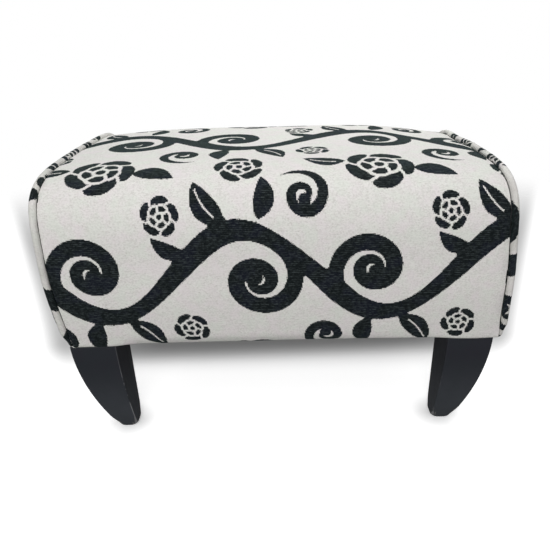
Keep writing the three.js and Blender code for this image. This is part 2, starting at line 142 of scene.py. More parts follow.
class FOOTSTOOL_PG_cover(bpy.types.PropertyGroup):
    """Sizes of the stuffed cover; the levels and the length come from the frame."""

    stuffing: length("Stuffing", 10.2, "From the frame's faces to the outside of the cover")
    top_fullness: length("Top fullness", 8, "How far the middle of the top stands off its outline")
    wall_fullness: length("Wall fullness", 3, "The same on the front and back")
    shoulder_fullness: length("Shoulder fullness", 5.5, "How far the shoulder stands out over the hem")
    shoulder_height: length("Shoulder height", 72, "From the hem to where the round top starts")
    hem_turn: length("Hem turn", 24, "Width of the fabric that is turned under the rails")
    hem_radius: length("Hem radius", 4.5, "Round of the fold at the bottom edge")
    thickness: length("Thickness", 1.6, "Thickness of the fabric")
    unevenness: length("Unevenness", 0.35, "The most that the stuffing stands out or falls in")
    tuck: length("Tuck", 1.2, "How deep the cover dips where it is sewn to the piping")
    tuck_width: length("Tuck width", 4, "How wide that dip is")
    end_fullness: length("End fullness", 15, "How far the middle of an end panel swells")
    foot_sway: length("Sway at the foot", 6.5, "How far the seams stray to the right at the hem")
    foot_narrowing: length("Narrowing at the foot", 1.5, "How far each seam is drawn in there")
    top_sway: length("Sway at the top", -3.6, "How far they stray at the top, to the left")
    bulge: length("Seam bulge", 1.8, "How far the seams stand out halfway up")
    slump: length("Slump", 6, "How far the stuffing has sunk at the back right corner")
    droop: length("Hem droop", 0.4, "How far the folded hem hangs at the most")
    roll_width: length("Roll width", 10, "How far in the fuller fold between the legs reaches")
    roll_height: length("Roll height", 15, "How far up it reaches")
    right_hang: length("Right hang", 1.6, "How far the hem hangs at its right end")
    seam_gap: length("Seam gap", 0.6, "Left between the end panel and the piping")
    fold_gap: length("Fold gap", 0.4, "Left between the flat of an end's hem and its fold, for a smooth join")
    top_power: number("Top power", 5.6, "Power of the curve that rounds the top")
    crown_power: number("Crown power", 4, "Power of the fall of the crown towards the seams")


class FOOTSTOOL_PG_fabric(bpy.types.PropertyGroup):
    """Colours and sizes of the woven fabric and of the vine drawn on it."""

    repeat_width: length("Repeat width", 300, "Width of one repeat of the vine")
    repeat_height: length("Repeat height", 250, "Height from one vine to the next")
    shift_x: length("Shift across", 262, "Where the repeat starts across the stool")
    shift_y: length("Shift along", 136, "Where the repeat starts along the girth")
    thread: length("Thread", 0.75, "Width of a thread")
    cream: colour("Cream", 0.79, 0.775, 0.75, "The ground")
    ecru: colour("Ecru", 0.64, 0.62, 0.585, "Darker slubs of the ground")
    ink: colour("Ink", 0.0045, 0.0066, 0.0074, "The figures")
    ink_thread: colour("Ink thread", 0.05, 0.06, 0.062, "Lighter threads in the figures")
    blue_ink: colour("Blue ink", 0.006, 0.0075, 0.0145, "Bluer patches of the figures")
    shade: colour("Shade", 0.55, 0.535, 0.505, "Hollows between the threads of the ground")
    rosy: colour("Rosy", 0.765, 0.70, 0.72, "Rosy patches of the ground")
    sage: colour("Sage", 0.70, 0.745, 0.67, "Greenish patches of the ground")
    fleck: colour("Fleck", 0.42, 0.38, 0.35, "Dark flecks in the ground")
    # Painted shade that darkens the piping's ground.
    grime: colour("Grime", 0.46, 0.45, 0.42, "What soils the piping")
    sheen: colour("Sheen", 0.3, 0.6, 0.5, "Tint of the gloss at a low angle")


class FOOTSTOOL_PG_piping(bpy.types.PropertyGroup):
    """Sizes of the piping; its thickness and place come from the frame."""

    bias: angle("Bias", math.radians(45), "Turn of the strip that covers the cord against the weave")
    wrinkle: length("Wrinkle", 0.16, "Height of the small wrinkles of the strip")
    wrinkle_step: length("Wrinkle step", 3.4, "Length of their regular part, over one radian")
    end_length: length("End length", 22, "How far from its ends it starts to grow thinner")
    end_rise: length("End rise", 3, "How far its ends stop short of the hem")
    end_share: number("End share", 0.55, "Its thickness at the ends, as a share of the whole")


class FOOTSTOOL_PG_leg(bpy.types.PropertyGroup):
    """Sizes and colours of a leg; its height and top come from the frame."""

    foot_side: length("Foot side", 23, "Side of the foot before its edges are rounded")
    arris: length("Arris", 1.8, "Round of the upright edges")
    foot_arris: length("Foot arris", 7, "The same at the very bottom, where use has rounded them")
    foot_wear: length("Foot wear", 24, "How far up from the floor that goes")
    lean: length("Lean", 1.1, "How far a foot stands nearer to the middle than the plumb inner faces")
    sway: length("Sway", 1.1, "How far all the feet stand to the right of that")
    right_spread: length("Right spread", 2.2, "How much further out the right legs reach")
    foot_outer_round: length("Outer foot round", 2, "Round of the foot's outer edges")
    foot_inner_round: length("Inner foot round", 6, "Round of the foot's inner edges")
    power: number("Power", 1.8, "Power of the curve of the outer faces")
    bolt_inset: length("Bolt inset", 16, "From the inner faces to the bolt")
    bolt_hole: length("Bolt hole", 4.3, "Radius of the hole for the bolt")
    bolt_depth: length("Bolt depth", 34.3, "Depth of that hole")
    top_bevel: length("Top bevel", 0.6, "How far the edge at the very top is taken off")
    top_bevel_height: length("Top bevel height", 0.8, "Height of that bevel")
    paint: colour("Paint", 0.0225, 0.0255, 0.031, "Satin black paint")
    warm_paint: colour("Warm paint", 0.0245, 0.0225, 0.031, "Warmer patches of it")
    dust: colour("Dust", 0.08, 0.089, 0.1, "What has settled near the floor")
    worn: colour("Worn", 0.26, 0.25, 0.24, "Where the paint is chipped")
    # A light line on each arris: worn paint and a painted highlight of the rounded edge.
    rubbed: colour("Rubbed", 0.33, 0.33, 0.34, "Where the paint is rubbed thin on an arris")


class FOOTSTOOL_PG_underside(bpy.types.PropertyGroup):
    """Sizes of the dust cloth and its staples."""

    sag: length("Sag", 2.2, "How far the dust cloth hangs between its staples")
    ripple: length("Ripple", 0.8, "The most that it is out of that shape")
    staple_pitch: length("Staple pitch", 36, "From one staple to the next")
    staple_crown: length("Staple crown", 10.5, "Length of a staple's crown")
    staple_wire: length("Staple wire", 1.1, "Width of its wire")
    staple_inset: length("Staple inset", 6, "From the cloth's edge to the staples")
    staple_skew: angle("Staple skew", 0.09, "The most that a staple is turned askew")
    leg_gap: length("Leg gap", 4, "Left beside the legs, where the cloth is held flat")
    black: colour("Black", 0.011, 0.011, 0.012, "The dust cloth")
    fibre: colour("Fibre", 0.042, 0.042, 0.045, "Its lighter fibres")
    weld: colour("Weld", 0.006, 0.006, 0.007, "The points where they are pressed together")


class FOOTSTOOL_PG_stage(bpy.types.PropertyGroup):
    """Camera and light."""

    place: point("Camera place", (0.0057, -0.7268, 0.4776), "Where the camera stands")
    yaw: angle("Yaw", 0.0131, "Turn to the right")
    pitch: angle("Pitch", 0.4243, "Turn down")
    roll: angle("Roll", -0.0189, "Lean to the left")
    lens: number("Lens", 37.06, "Focal length in millimetres")
    shift: number("Shift", -0.0302, "Sideways shift of the picture")
    key: power("Key", 2.5, "Power of the lamp above")
    key_place: point("Key place", (0.14, 0.35, 0.95), "Where that lamp hangs")
    key_side: length("Key side", 450, "Side of its square face")
    fill: power("Fill", 5.5, "Power of the lamp in front")
    fill_place: point("Fill place", (-0.1, -1.15, 0.8), "Where that lamp stands")
    fill_side: length("Fill side", 500, "Side of its square face")
    aim: point("Aim", (0, 0, 0.2), "What both lamps face")
    sky: number("Sky", 0.84, "Strength of the even light")
    sky_slant: number("Sky slant", 0.06, "How much dimmer it is from the right, as a share")


def settings():
    """The scene's own settings."""
    return bpy.context.scene.footstool


# Meshes


def new_piece(name, points, faces, material, slot, uv=None, marks=None, sharp=math.radians(50)):
    """A mesh object from an array of points and a list of arrays of faces, riding on the body.

    uv holds one pair for each point, or an array of pairs for each array of faces. marks holds
    named numbers for each point. Edges sharper than the given angle stay sharp.
    """
    mesh = bpy.data.meshes.new(name)
    corners = np.concatenate([block.ravel() for block in faces])
    sizes = np.concatenate([np.full(len(block), block.shape[1]) for block in faces])
    mesh.vertices.add(len(points))
    mesh.vertices.foreach_set("co", np.asarray(points, np.float32).ravel())
    mesh.loops.add(len(corners))
    mesh.loops.foreach_set("vertex_index", corners.astype(np.int32))
    mesh.polygons.add(len(sizes))
    mesh.polygons.foreach_set("loop_start", (np.cumsum(sizes) - sizes).astype(np.int32))
    mesh.polygons.foreach_set("use_smooth", np.ones(len(sizes), bool))
    mesh.update(calc_edges=True)
    mesh.validate()
    if uv is not None:
        by_corner = isinstance(uv, list)
        pairs = np.concatenate([block.reshape(-1, 2) for block in uv]) if by_corner else uv[corners]
        layer = mesh.uv_layers.new(name="weave")
        layer.data.foreach_set("uv", pairs.astype(np.float32).ravel())
    for mark, values in (marks or {}).items():
        layer = mesh.attributes.new(mark, "FLOAT", "POINT")
        layer.data.foreach_set("value", np.asarray(values, np.float32))
    mesh.set_sharp_from_angle(angle=sharp)
    piece = bpy.data.objects.new(name, mesh)
    bpy.context.scene.collection.objects.link(piece)
    mesh.materials.append(material)
    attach(piece, BODY)
    return piece


def grid_faces(rows, columns, first=0, around=False):
    """Quads of a grid of points stored row by row, closed round each row if asked."""
    index = first + np.arange(rows * columns).reshape(rows, columns)
    right = np.roll(index, -1, axis=1)
    if not around:
        index, right = index[:, :-1], right[:, :-1]
    quads = np.stack([index[:-1], right[:-1], right[1:], index[1:]], axis=-1)
    return quads.reshape(-1, 4)


def enclosed(points, faces):
    """Six times the volume that the faces enclose, negative where they point inwards."""
    volume = 0.0
    for block in faces:
        first = points[block[:, 0]]
        for a in range(1, block.shape[1] - 1):
            volume += float((first * np.cross(points[block[:, a]], points[block[:, a + 1]])).sum())
    return volume


def outward(points, faces):
    """The faces, turned round where they point inwards."""
    return faces if enclosed(points, faces) > 0 else [block[:, ::-1] for block in faces]


def sheet_between(outer, inner):
    """Points and faces of a closed sheet between two grids of the same shape, with a rim round it."""
    rows, columns = outer.shape[:2]
    count = rows * columns
    points = np.concatenate([outer.reshape(-1, 3), inner.reshape(-1, 3)])
    front = grid_faces(rows, columns)
    index = np.arange(count).reshape(rows, columns)
    rim = np.concatenate([index[0], index[1:, -1], index[-1, -2::-1], index[-2:0:-1, 0]])
    after = np.roll(rim, -1)
    wall = np.stack([rim, rim + count, after + count, after], axis=-1)
    return points, outward(points, [front, front[:, ::-1] + count, wall])


def lofted(rings, uv=None):
    """Points, faces and corner maps of a closed solid through rings of points, with a fan at each end.

    rings has the shape (rings, points round a ring, 3). uv has one more column, for the far side of
    the join.
    """
    count, around = rings.shape[:2]
    ends = np.stack([rings[0].mean(axis=0), rings[-1].mean(axis=0)])
    points = np.concatenate([rings.reshape(-1, 3), ends])
    ring = np.arange(around)
    last = ring + (count - 1) * around
    first_fan = np.stack([np.roll(ring, -1), ring, np.full(around, count * around)], axis=-1)
    last_fan = np.stack([last, np.roll(last, -1), np.full(around, count * around + 1)], axis=-1)
    faces = [grid_faces(count, around, around=True), first_fan, last_fan]
    maps = []
    if uv is not None:
        cells = grid_faces(count, around + 1)
        middles = (uv[:, 1:] + uv[:, :-1]) / 2
        fans = [np.stack([uv[row, 1:], uv[row, :-1], middles[row]], axis=1) for row in (0, -1)]
        maps = [uv.reshape(-1, 2)[cells], fans[0], fans[1][:, [1, 0, 2]]]
    if enclosed(points, faces) < 0:
        faces, maps = ([block[:, ::-1] for block in blocks] for blocks in (faces, maps))
    return points, faces, maps


def lengths(line):
    """How far along a line each of its points lies."""
    return np.concatenate([[0], np.cumsum(np.linalg.norm(np.diff(line, axis=0), axis=1))])


def leftwards(line):
    """Unit directions square to a flat line, to its left, at each of its points."""
    way = np.gradient(line, axis=0)
    way /= np.linalg.norm(way, axis=1, keepdims=True)
    return np.stack([-way[:, 1], way[:, 0]], axis=1)


def normals(grid):
    """Unit directions square to a grid of points: its rows' direction crossed with its columns'."""
    normal = np.cross(np.gradient(grid, axis=1), np.gradient(grid, axis=0))
    return normal / np.linalg.norm(normal, axis=-1, keepdims=True)


def spread_evenly(line, count):
    """The same line as count points at equal steps along it."""
    along = lengths(line)
    at = np.linspace(0, along[-1], count)
    return np.stack([np.interp(at, along, line[:, k]) for k in range(line.shape[1])], axis=1)


def blurred(field, passes):
    """A grid of numbers, each pass averaging neighbours by quarter, half, quarter both ways."""
    for _ in range(passes):
        for axis in (0, 1):
            edge = [(1, 1) if k == axis else (0, 0) for k in (0, 1)]
            wide = np.pad(field, edge, mode="edge")
            low, mid, high = (np.take(wide, np.arange(field.shape[axis]) + k, axis) for k in range(3))
            field = low / 4 + mid / 2 + high / 4
    return field


def read_at(field, down, over):
    """A grid of numbers read at places given in rows and columns, straight between its own."""
    tall = np.stack([np.interp(down, np.arange(field.shape[0]), column) for column in field.T], axis=1)
    return np.stack([np.interp(over, np.arange(field.shape[1]), row) for row in tall])


def stretched(field, rows, columns):
    """The same field on a grid of another size."""
    down = np.linspace(0, field.shape[0] - 1, rows)
    return read_at(field, down, np.linspace(0, field.shape[1] - 1, columns))


# The cloth trial: its pressure, stiffness and damping, and how many frames it runs for.
PRESSURE, STIFFNESS, DAMPING = 4, 40, 4
TRIAL_FRAMES = 16


def inflated(grid):
    """How far each point of a grid moves outwards as cloth held along its rim and blown up.

    The answer is a grid of shares, 1 where the cloth moves furthest. grid has the shape
    (rows, columns, 3) and faces outwards.
    """
    rows, columns = grid.shape[:2]
    mesh = bpy.data.meshes.new("cloth_trial")
    mesh.from_pydata(grid.reshape(-1, 3).tolist(), [], grid_faces(rows, columns).tolist())
    mesh.update()
    trial = bpy.data.objects.new("cloth_trial", mesh)
    bpy.context.scene.collection.objects.link(trial)
    index = np.arange(rows * columns).reshape(rows, columns)
    rim = np.concatenate([index[0], index[-1], index[1:-1, 0], index[1:-1, -1]])
    held = trial.vertex_groups.new(name="held")
    held.add(rim.tolist(), 1.0, "REPLACE")
    cloth = trial.modifiers.new("cloth", "CLOTH")
    cloth.settings.vertex_group_mass = "held"
    cloth.settings.use_pressure = True
    cloth.settings.uniform_pressure_force = PRESSURE
    cloth.settings.effector_weights.gravity = 0
    cloth.settings.tension_stiffness = cloth.settings.compression_stiffness = STIFFNESS
    cloth.settings.air_damping = DAMPING
    scene = bpy.context.scene
    for step in range(1, TRIAL_FRAMES + 1):
        scene.frame_set(step)
    shaped = trial.evaluated_get(bpy.context.evaluated_depsgraph_get()).to_mesh()
    moved = np.empty(rows * columns * 3, np.float32)
    shaped.vertices.foreach_get("co", moved)
    scene.frame_set(1)
    bpy.data.objects.remove(trial)
    share = ((moved.reshape(grid.shape) - grid) * normals(grid)).sum(axis=-1)
    return np.clip(share / np.abs(share).max(), -1, 1)


# Arithmetic in node trees


def put(tree, socket, value):
    """Feeds a socket with another socket, a signal, a colour or a plain value."""
    value = getattr(value, "socket", value)
    if isinstance(value, bpy.types.NodeSocket):
        tree.links.new(value, socket)
    elif socket.type == "RGBA" and len(value) == 3:
        socket.default_value = (*value, 1)
    else:
        socket.default_value = value


def arithmetic(operation, signal_last=False):
    """A method that adds a Math node, fed with the signal and the other signals or numbers given."""

    def method(self, *others):
        node = self.tree.nodes.new("ShaderNodeMath")
        node.operation = operation
        values = (*others, self) if signal_last else (self, *others)
        for socket, value in zip(node.inputs, values):
            put(self.tree, socket, value)
        return Signal(self.tree, node.outputs[0])

    return method


class Signal:
    """A number that changes over a surface. Arithmetic on it adds Math nodes to its tree."""

    def __init__(self, tree, socket):
        self.tree = tree
        self.socket = socket

    __add__ = __radd__ = arithmetic("ADD")
    __sub__ = arithmetic("SUBTRACT")
    __rsub__ = arithmetic("SUBTRACT", signal_last=True)
    __mul__ = __rmul__ = arithmetic("MULTIPLY")
    __truediv__ = arithmetic("DIVIDE")
    __rtruediv__ = arithmetic("DIVIDE", signal_last=True)
    __pow__ = arithmetic("POWER")
    __abs__ = arithmetic("ABSOLUTE")
    least = arithmetic("MINIMUM")
    most = arithmetic("MAXIMUM")
    over = arithmetic("GREATER_THAN")
    angle = arithmetic("ARCTAN2")
    log = arithmetic("LOGARITHM")
    exp = arithmetic("EXPONENT")
    sqrt = arithmetic("SQRT")
    sin = arithmetic("SINE")
    cos = arithmetic("COSINE")
    floor = arithmetic("FLOOR")
    ceil = arithmetic("CEIL")
    round = arithmetic("ROUND")
    part = arithmetic("FRACT")

    def share(self, low, high):
        """Rises smoothly from 0 to 1 as the signal goes from low to high."""
        node = self.tree.nodes.new("ShaderNodeMapRange")
        node.interpolation_type = "SMOOTHSTEP"
        node.inputs["From Min"].default_value = low
        node.inputs["From Max"].default_value = high
        self.tree.links.new(self.socket, node.inputs["Value"])
        return Signal(self.tree, node.outputs["Result"])


def node_group(formula):
    """Turns a formula on signals into a node group, made at its first use.

    The function that this gives back is called as the formula is, with signals or plain numbers,
    the first of them a signal. It adds the group to that signal's tree and returns its answers.
    """
    names = list(inspect.signature(formula).parameters)

    def laid_out():
        tree = bpy.data.node_groups.new(formula.__name__, "ShaderNodeTree")
        for name in names:
            tree.interface.new_socket(name, in_out="INPUT", socket_type="NodeSocketFloat")
        given = tree.nodes.new("NodeGroupInput")
        answers = formula(*(Signal(tree, socket) for socket in given.outputs[: len(names)]))
        answers = answers if isinstance(answers, tuple) else (answers,)
        for place in range(len(answers)):
            tree.interface.new_socket(f"answer_{place}", in_out="OUTPUT", socket_type="NodeSocketFloat")
        result = tree.nodes.new("NodeGroupOutput")
        for socket, answer in zip(result.inputs, answers):
            tree.links.new(answer.socket, socket)
        return tree

    def added(*values):
        host = values[0].tree
        node = host.nodes.new("ShaderNodeGroup")
        node.node_tree = bpy.data.node_groups.get(formula.__name__) or laid_out()
        for socket, value in zip(node.inputs, values):
            put(host, socket, value)
        answers = tuple(Signal(host, socket) for socket in node.outputs)
        return answers if len(answers) > 1 else answers[0]

    return added


class Finish:
    """A material or world being laid out, its main shader, and short ways to add what feeds it."""

    def __init__(self, owner):
        owner.use_nodes = True
        self.tree = owner.node_tree
        self.shader = self.tree.nodes.get("Principled BSDF") or self.tree.nodes["Background"]

    def feed(self, socket, value):
        """Feeds a socket of this tree."""
        put(self.tree, socket, value)

    def add(self, kind, output=0, inputs=None, **settings):
        """One node of a kind with its settings and inputs, by name or place; gives one of its outputs."""
        node = self.tree.nodes.new("ShaderNode" + kind)
        for name, value in settings.items():
            setattr(node, name, value)
        for name, value in (inputs or {}).items():
            self.feed(node.inputs[name], value)
        return node.outputs[output]

    def set(self, **values):
        """Feeds the main shader; Base_Color stands for Base Color."""
        for name, value in values.items():
            self.feed(self.shader.inputs[name.replace("_", " ")], value)

    def signal(self, socket):
        """An output of this tree, ready for arithmetic."""
        return Signal(self.tree, socket)

    def at(self, scale=(1, 1, 1), turn=(0, 0, 0), place=(0, 0, 0)):
        """Object coordinates, moved, turned and then multiplied by a scale."""
        where = self.add("TexCoord", "Object")
        inputs = {"Vector": where, "Location": place, "Rotation": turn, "Scale": scale}
        return self.add("Mapping", inputs=inputs)

    def axes(self, vector):
        """The three parts of a vector."""
        node = self.tree.nodes.new("ShaderNodeSeparateXYZ")
        self.feed(node.inputs[0], vector)
        return tuple(Signal(self.tree, socket) for socket in node.outputs)

    def vector(self, x, y, z=0.0):
        """A vector of three parts."""
        return self.add("CombineXYZ", inputs={"X": x, "Y": y, "Z": z})

    def noise(self, vector, scale=1.0, detail=2.0, roughness=0.5, distortion=0.0):
        """Soft noise from 0 to 1, scale times finer than its vector."""
        inputs = {"Vector": vector, "Scale": scale, "Detail": detail}
        inputs |= {"Roughness": roughness, "Distortion": distortion}
        return self.signal(self.add("TexNoise", 0, inputs))

    def grains(self, vector, scale=1.0, feature="F1"):
        """The distance to scattered points."""
        inputs = {"Vector": vector, "Scale": scale}
        return self.signal(self.add("TexVoronoi", "Distance", inputs, feature=feature))

    def chance(self, vector):
        """An even random number for each whole vector."""
        return self.signal(self.add("TexWhiteNoise", "Value", {"Vector": vector}))

    def mixed(self, share, first, second):
        """A colour between two: the first where the share is 0, the second where it is 1."""
        node = self.tree.nodes.new("ShaderNodeMix")
        node.data_type = "RGBA"
        for place, value in ((0, share), (6, first), (7, second)):
            self.feed(node.inputs[place], value)
        return node.outputs[2]

    def relief(self, height, strength=1.0):
        """Bump from a height in millimetres."""
        inputs = {"Height": height, "Distance": MM, "Strength": strength}
        self.set(Normal=self.add("Bump", "Normal", inputs))


def finish(lay_out):
    """Turns a function that lays out a material into one that gives the material, made once."""

    def given(*values):
        name = "_".join(["stool", lay_out.__name__, *map(str, values)])
        found = bpy.data.materials.get(name)
        if found is None:
            found = bpy.data.materials.new(name)
            lay_out(Finish(found), *values)
        return found

    return given


# The vine on the fabric. Each formula gives the distance in millimetres to the edge of its figure,
# and comes out negative inside it.


@node_group
def placed(u, v, middle_u, middle_v, cosine, sine, width, height):
    """Turned coordinates about the nearest copy of a figure. Every second row moves half a repeat."""
    row = ((v - middle_v) / height).round()
    up = v - middle_v - row * height
    across = u - middle_u - row * (width / 2)
    across = across - (across / width).round() * width
    return across * cosine + up * sine, up * cosine - across * sine


VINE_RISE = 50
VINE_HALF = 10.5
NOOK = 6


@node_group
def vine(u, v, width, height):
    """A stem along a sine wave, one wave a repeat, thicker and thinner by turns."""
    row = (v / height).round()
    k = TURN / width
    along = (u - row * (width / 2)) * k
    slope = along.cos() * k * VINE_RISE
    off = abs(v - row * height - along.sin() * VINE_RISE) / (slope * slope + 1).sqrt()
    return off - ((along * 2).sin() * 0.2 + 1) * VINE_HALF


@node_group
def scroll(x, y, start, growth, first, last, width, bulb):
    """A band along a logarithmic spiral, r = start * exp(growth * turns), with a round bulb inside."""
    r = (x * x + y * y).sqrt()
    way = y.angle(x) / TURN
    turns = ((r / start).log(math.e) / growth - way).round()
    turns = turns.least((last - way).floor()).most((first - way).ceil())
    at = turns + way
    share = (at - first) / (last - first)
    half = width / 2 * (share**0.7 * 0.9 + 0.2) * (1 - share**7)
    band = abs(r - start * (at * growth).exp()) - half
    reach = start * (growth * first).exp()
    off_x = x - reach * (first * TURN).cos()
    off_y = y - reach * (first * TURN).sin()
    return band.least((off_x * off_x + off_y * off_y).sqrt() - bulb)


@node_group
def leaf(x, y, length, width, bend, vein):
    """A pointed leaf bent along a parabola, with a light vein in its middle."""
    t = x / length
    full = (t * (1 - t) * 4).most(0)
    off = abs(y - full * bend)
    half = full**0.8 * (width / 2) * (1.25 - t * 0.5)
    blade = (off - half).most(abs(x - length / 2) - length / 2)
    return blade.most((vein - off).least(length * 0.32 - abs(x - length * 0.52)))


@node_group
def blossom(x, y, radius, petals, twist, line):
    """A round flower: two rings of twisted petals and a heart, parted by light lines."""
    r = (x * x + y * y).sqrt()
    way = y.angle(x) / TURN * petals + r / radius * twist
    outer = abs(way.part() - 0.5)
    inner = abs((way + 0.5).part() - 0.5)
    half = line / 2
    arc = r * (TURN / petals)
    middle = radius * 0.58
    rim = r - radius * (1 - (outer * 2) ** 3 * 0.2)
    outside = (half - (0.5 - outer) * arc).least(r - middle)
    inside = (half - (0.5 - inner) * arc).least(middle - r).least(r - radius * 0.2)
    ring = half - abs(r - middle * (1 - (inner * 2) ** 3 * 0.16))
    heart = half - abs(r - radius * 0.2)
    return rim.most(outside).most(inside).most(ring).most(heart)


@node_group
def joined(first, second):
    """Two figures as one, with the nook between them filled where both edges are nearly as far off."""
    nook = (NOOK - abs(first - second)).most(0)
    return first.least(second) - nook * nook / (4 * NOOK)


# Middle across and up, turn in degrees, and the figure's own sizes.
SCROLLS = (
    (89, -8, 100, 6.6, 1.03, 0.1, 2.08, 24, 10.5),
    (211, 4, 280, 6.5, 1.03, 0.1, 2.05, 23, 10.0),
    (141, 82, 215, 4.3, 1.12, 0.2, 1.78, 14, 6.5),
    (9, 168, 35, 4.3, 1.12, 0.2, 1.74, 14, 6.5),
)
LEAVES = (
    (58, 56, 126, 52, 25, 6, 0.9),
    (94, 60, 84, 44, 21, -5, -1),
    (92, 194, -54, 52, 25, 6, 0.9),
    (56, 192, -97, 44, 21, -5, -1),
    (262, 116, -14, 46, 22, 5, -1),
    (190, 134, 168, 46, 22, 5, 0.9),
    (14, 24, 150, 38, 18, 5, -1),
    (162, -22, -30, 38, 18, 5, -1),
)
BLOSSOMS = (
    (226, 124, 0, 38, 5, 0.7, 4.2),
    (75, 124, 20, 27, 5, -0.7, 3.2),
    (158, 183, 40, 20, 5, 0.5, 2.6),
    (293, 64, 10, 20, 5, 0.5, 2.6),
)


def figures(u, v, width, height):
    """The distance to the nearest figure of the repeat, in millimetres."""
    nearest = vine(u, v, width, height)
    for draw, places in ((scroll, SCROLLS), (leaf, LEAVES), (blossom, BLOSSOMS)):
        for middle_u, middle_v, turn, *sizes in places:
            turn = math.radians(turn)
            x, y = placed(u, v, middle_u, middle_v, math.cos(turn), math.sin(turn), width, height)
            figure = draw(x, y, *sizes)
            nearest = nearest.least(figure) if draw is blossom else joined(nearest, figure)
    return nearest


def woven(paint, soil=0.0):
    """Lays out the fabric on a piece's weave map, which is in metres; a painted shade can darken its ground
    in mottled patches.

    Weft and warp cross in a plain weave. The figures are drawn thread by thread, so their edges
    step, and they lie in ribs a little above the ground.
    """
    cloth = settings().fabric
    thread = cloth.thread / MM
    u, v, _ = paint.axes(paint.add("UVMap", uv_map="weave"))
    u, v = (u + cloth.shift_x) / MM, (v + cloth.shift_y) / MM
    column, pick = (u / thread).floor(), (v / thread).floor()
    crossing = paint.vector(column, pick)
    luck = paint.chance(crossing)
    jump = thread * 1.7
    edge = figures(
        ((u / jump).floor() + 0.5) * jump,
        ((v / jump).floor() + 0.5) * jump,
        cloth.repeat_width / MM,
        cloth.repeat_height / MM,
    )
    figure = (luck * 0.5 - 0.25).over(edge)

    across, up = (u * (TURN / thread / 2)).sin(), (v * (TURN / thread / 2)).sin()
    slub = paint.noise(paint.vector(u * 0.11, v * 0.75, 3.1), detail=3, roughness=0.65)
    mottle = paint.noise(paint.vector(u * 0.035, v * 0.05, 8.4), detail=3)
    blush = paint.noise(paint.vector(u * 0.06, v * 0.06, 5.7), detail=2)
    grain = paint.noise(paint.vector(u * 0.5, v * 0.65, 1.3), detail=3, roughness=0.75)
    blot = paint.noise(paint.vector(u * 0.2, v * 0.42, 6.9), detail=3, roughness=0.6)
    pick_tone = paint.chance(paint.vector(0, pick, 5))
    speck = paint.chance(paint.vector((u / 1.7).floor(), (v / 1.3).floor(), 2)).over(0.985)

    ground_share = slub.share(0.46, 0.78) * 0.7 + pick_tone * 0.16 + luck * 0.22 - mottle * 0.2
    ground = paint.mixed(ground_share, cloth.cream, cloth.ecru)
    ground = paint.mixed(grain.share(0.4, 0.7) * 0.75, ground, cloth.shade)
    ground = paint.mixed(blush.share(0.48, 0.68) * 0.45, ground, cloth.rosy)
    ground = paint.mixed((1 - blush).share(0.48, 0.68) * 0.4, ground, cloth.sage)
    ground = paint.mixed(speck * 0.22, ground, cloth.fleck)
    # Painted shade: mottled darkening of the ground, used on the piping.
    ground = paint.mixed(mottle.share(0.2, 0.7) * soil, ground, cloth.grime)
    rib = abs(((u * 0.03 + v + slub * 1.6) * (TURN / (5.8 * thread))).sin())
    broken = blot.share(0.42, 0.62) * (pick_tone * 0.7 + 0.5) + 0.06
    lit = rib * rib * broken + grain.share(0.45, 0.7) * 0.4
    ink = paint.mixed(blush.share(0.45, 0.65), cloth.ink, cloth.blue_ink)
    ink = paint.mixed(lit * (luck * 0.5 + 0.5), ink, cloth.ink_thread)
    paint.set(
        Base_Color=paint.mixed(figure, ground, ink),
        Roughness=0.9,
        Sheen_Weight=0.065,
        Sheen_Roughness=0.45,
        Sheen_Tint=cloth.sheen,
        Specular_IOR_Level=0.06,
    )
    plain = abs(across * up) * 0.14 + slub * 0.26 + luck * 0.05
    raised = rib * 0.26 + abs(across) * 0.05 + 0.12
    paint.relief(plain + (raised - plain) * figure, 0.75)


@finish
def cover_fabric(paint):
    """The fabric of the main cover and end panels."""
    woven(paint)


@finish
def piping_fabric(paint):
    """The same fabric, cut on the bias round the cord, its ground darkened by a painted shade."""
    woven(paint, 0.5)


# Other finishes, and the colours that they mix

PINE_COLOURS = (0.66, 0.43, 0.22), (0.43, 0.225, 0.09), (0.7, 0.5, 0.3), (0.36, 0.2, 0.09), (0.2, 0.095, 0.04)
PLY_COLOURS = (0.6, 0.42, 0.24), (0.48, 0.31, 0.16), (0.36, 0.22, 0.11), (0.3, 0.17, 0.08)
PLY = 1.7 * MM
FOAM_COLOURS = (0.78, 0.69, 0.44), (0.7, 0.58, 0.33), (0.5, 0.4, 0.22), (0.42, 0.33, 0.17)
WADDING_COLOURS = (0.92, 0.92, 0.9), (0.86, 0.86, 0.84), (0.72, 0.73, 0.72)
STEEL_COLOURS = (0.78, 0.78, 0.76), (0.66, 0.67, 0.66), (0.5, 0.52, 0.53)
WELD_STEP = 1.3 * MM


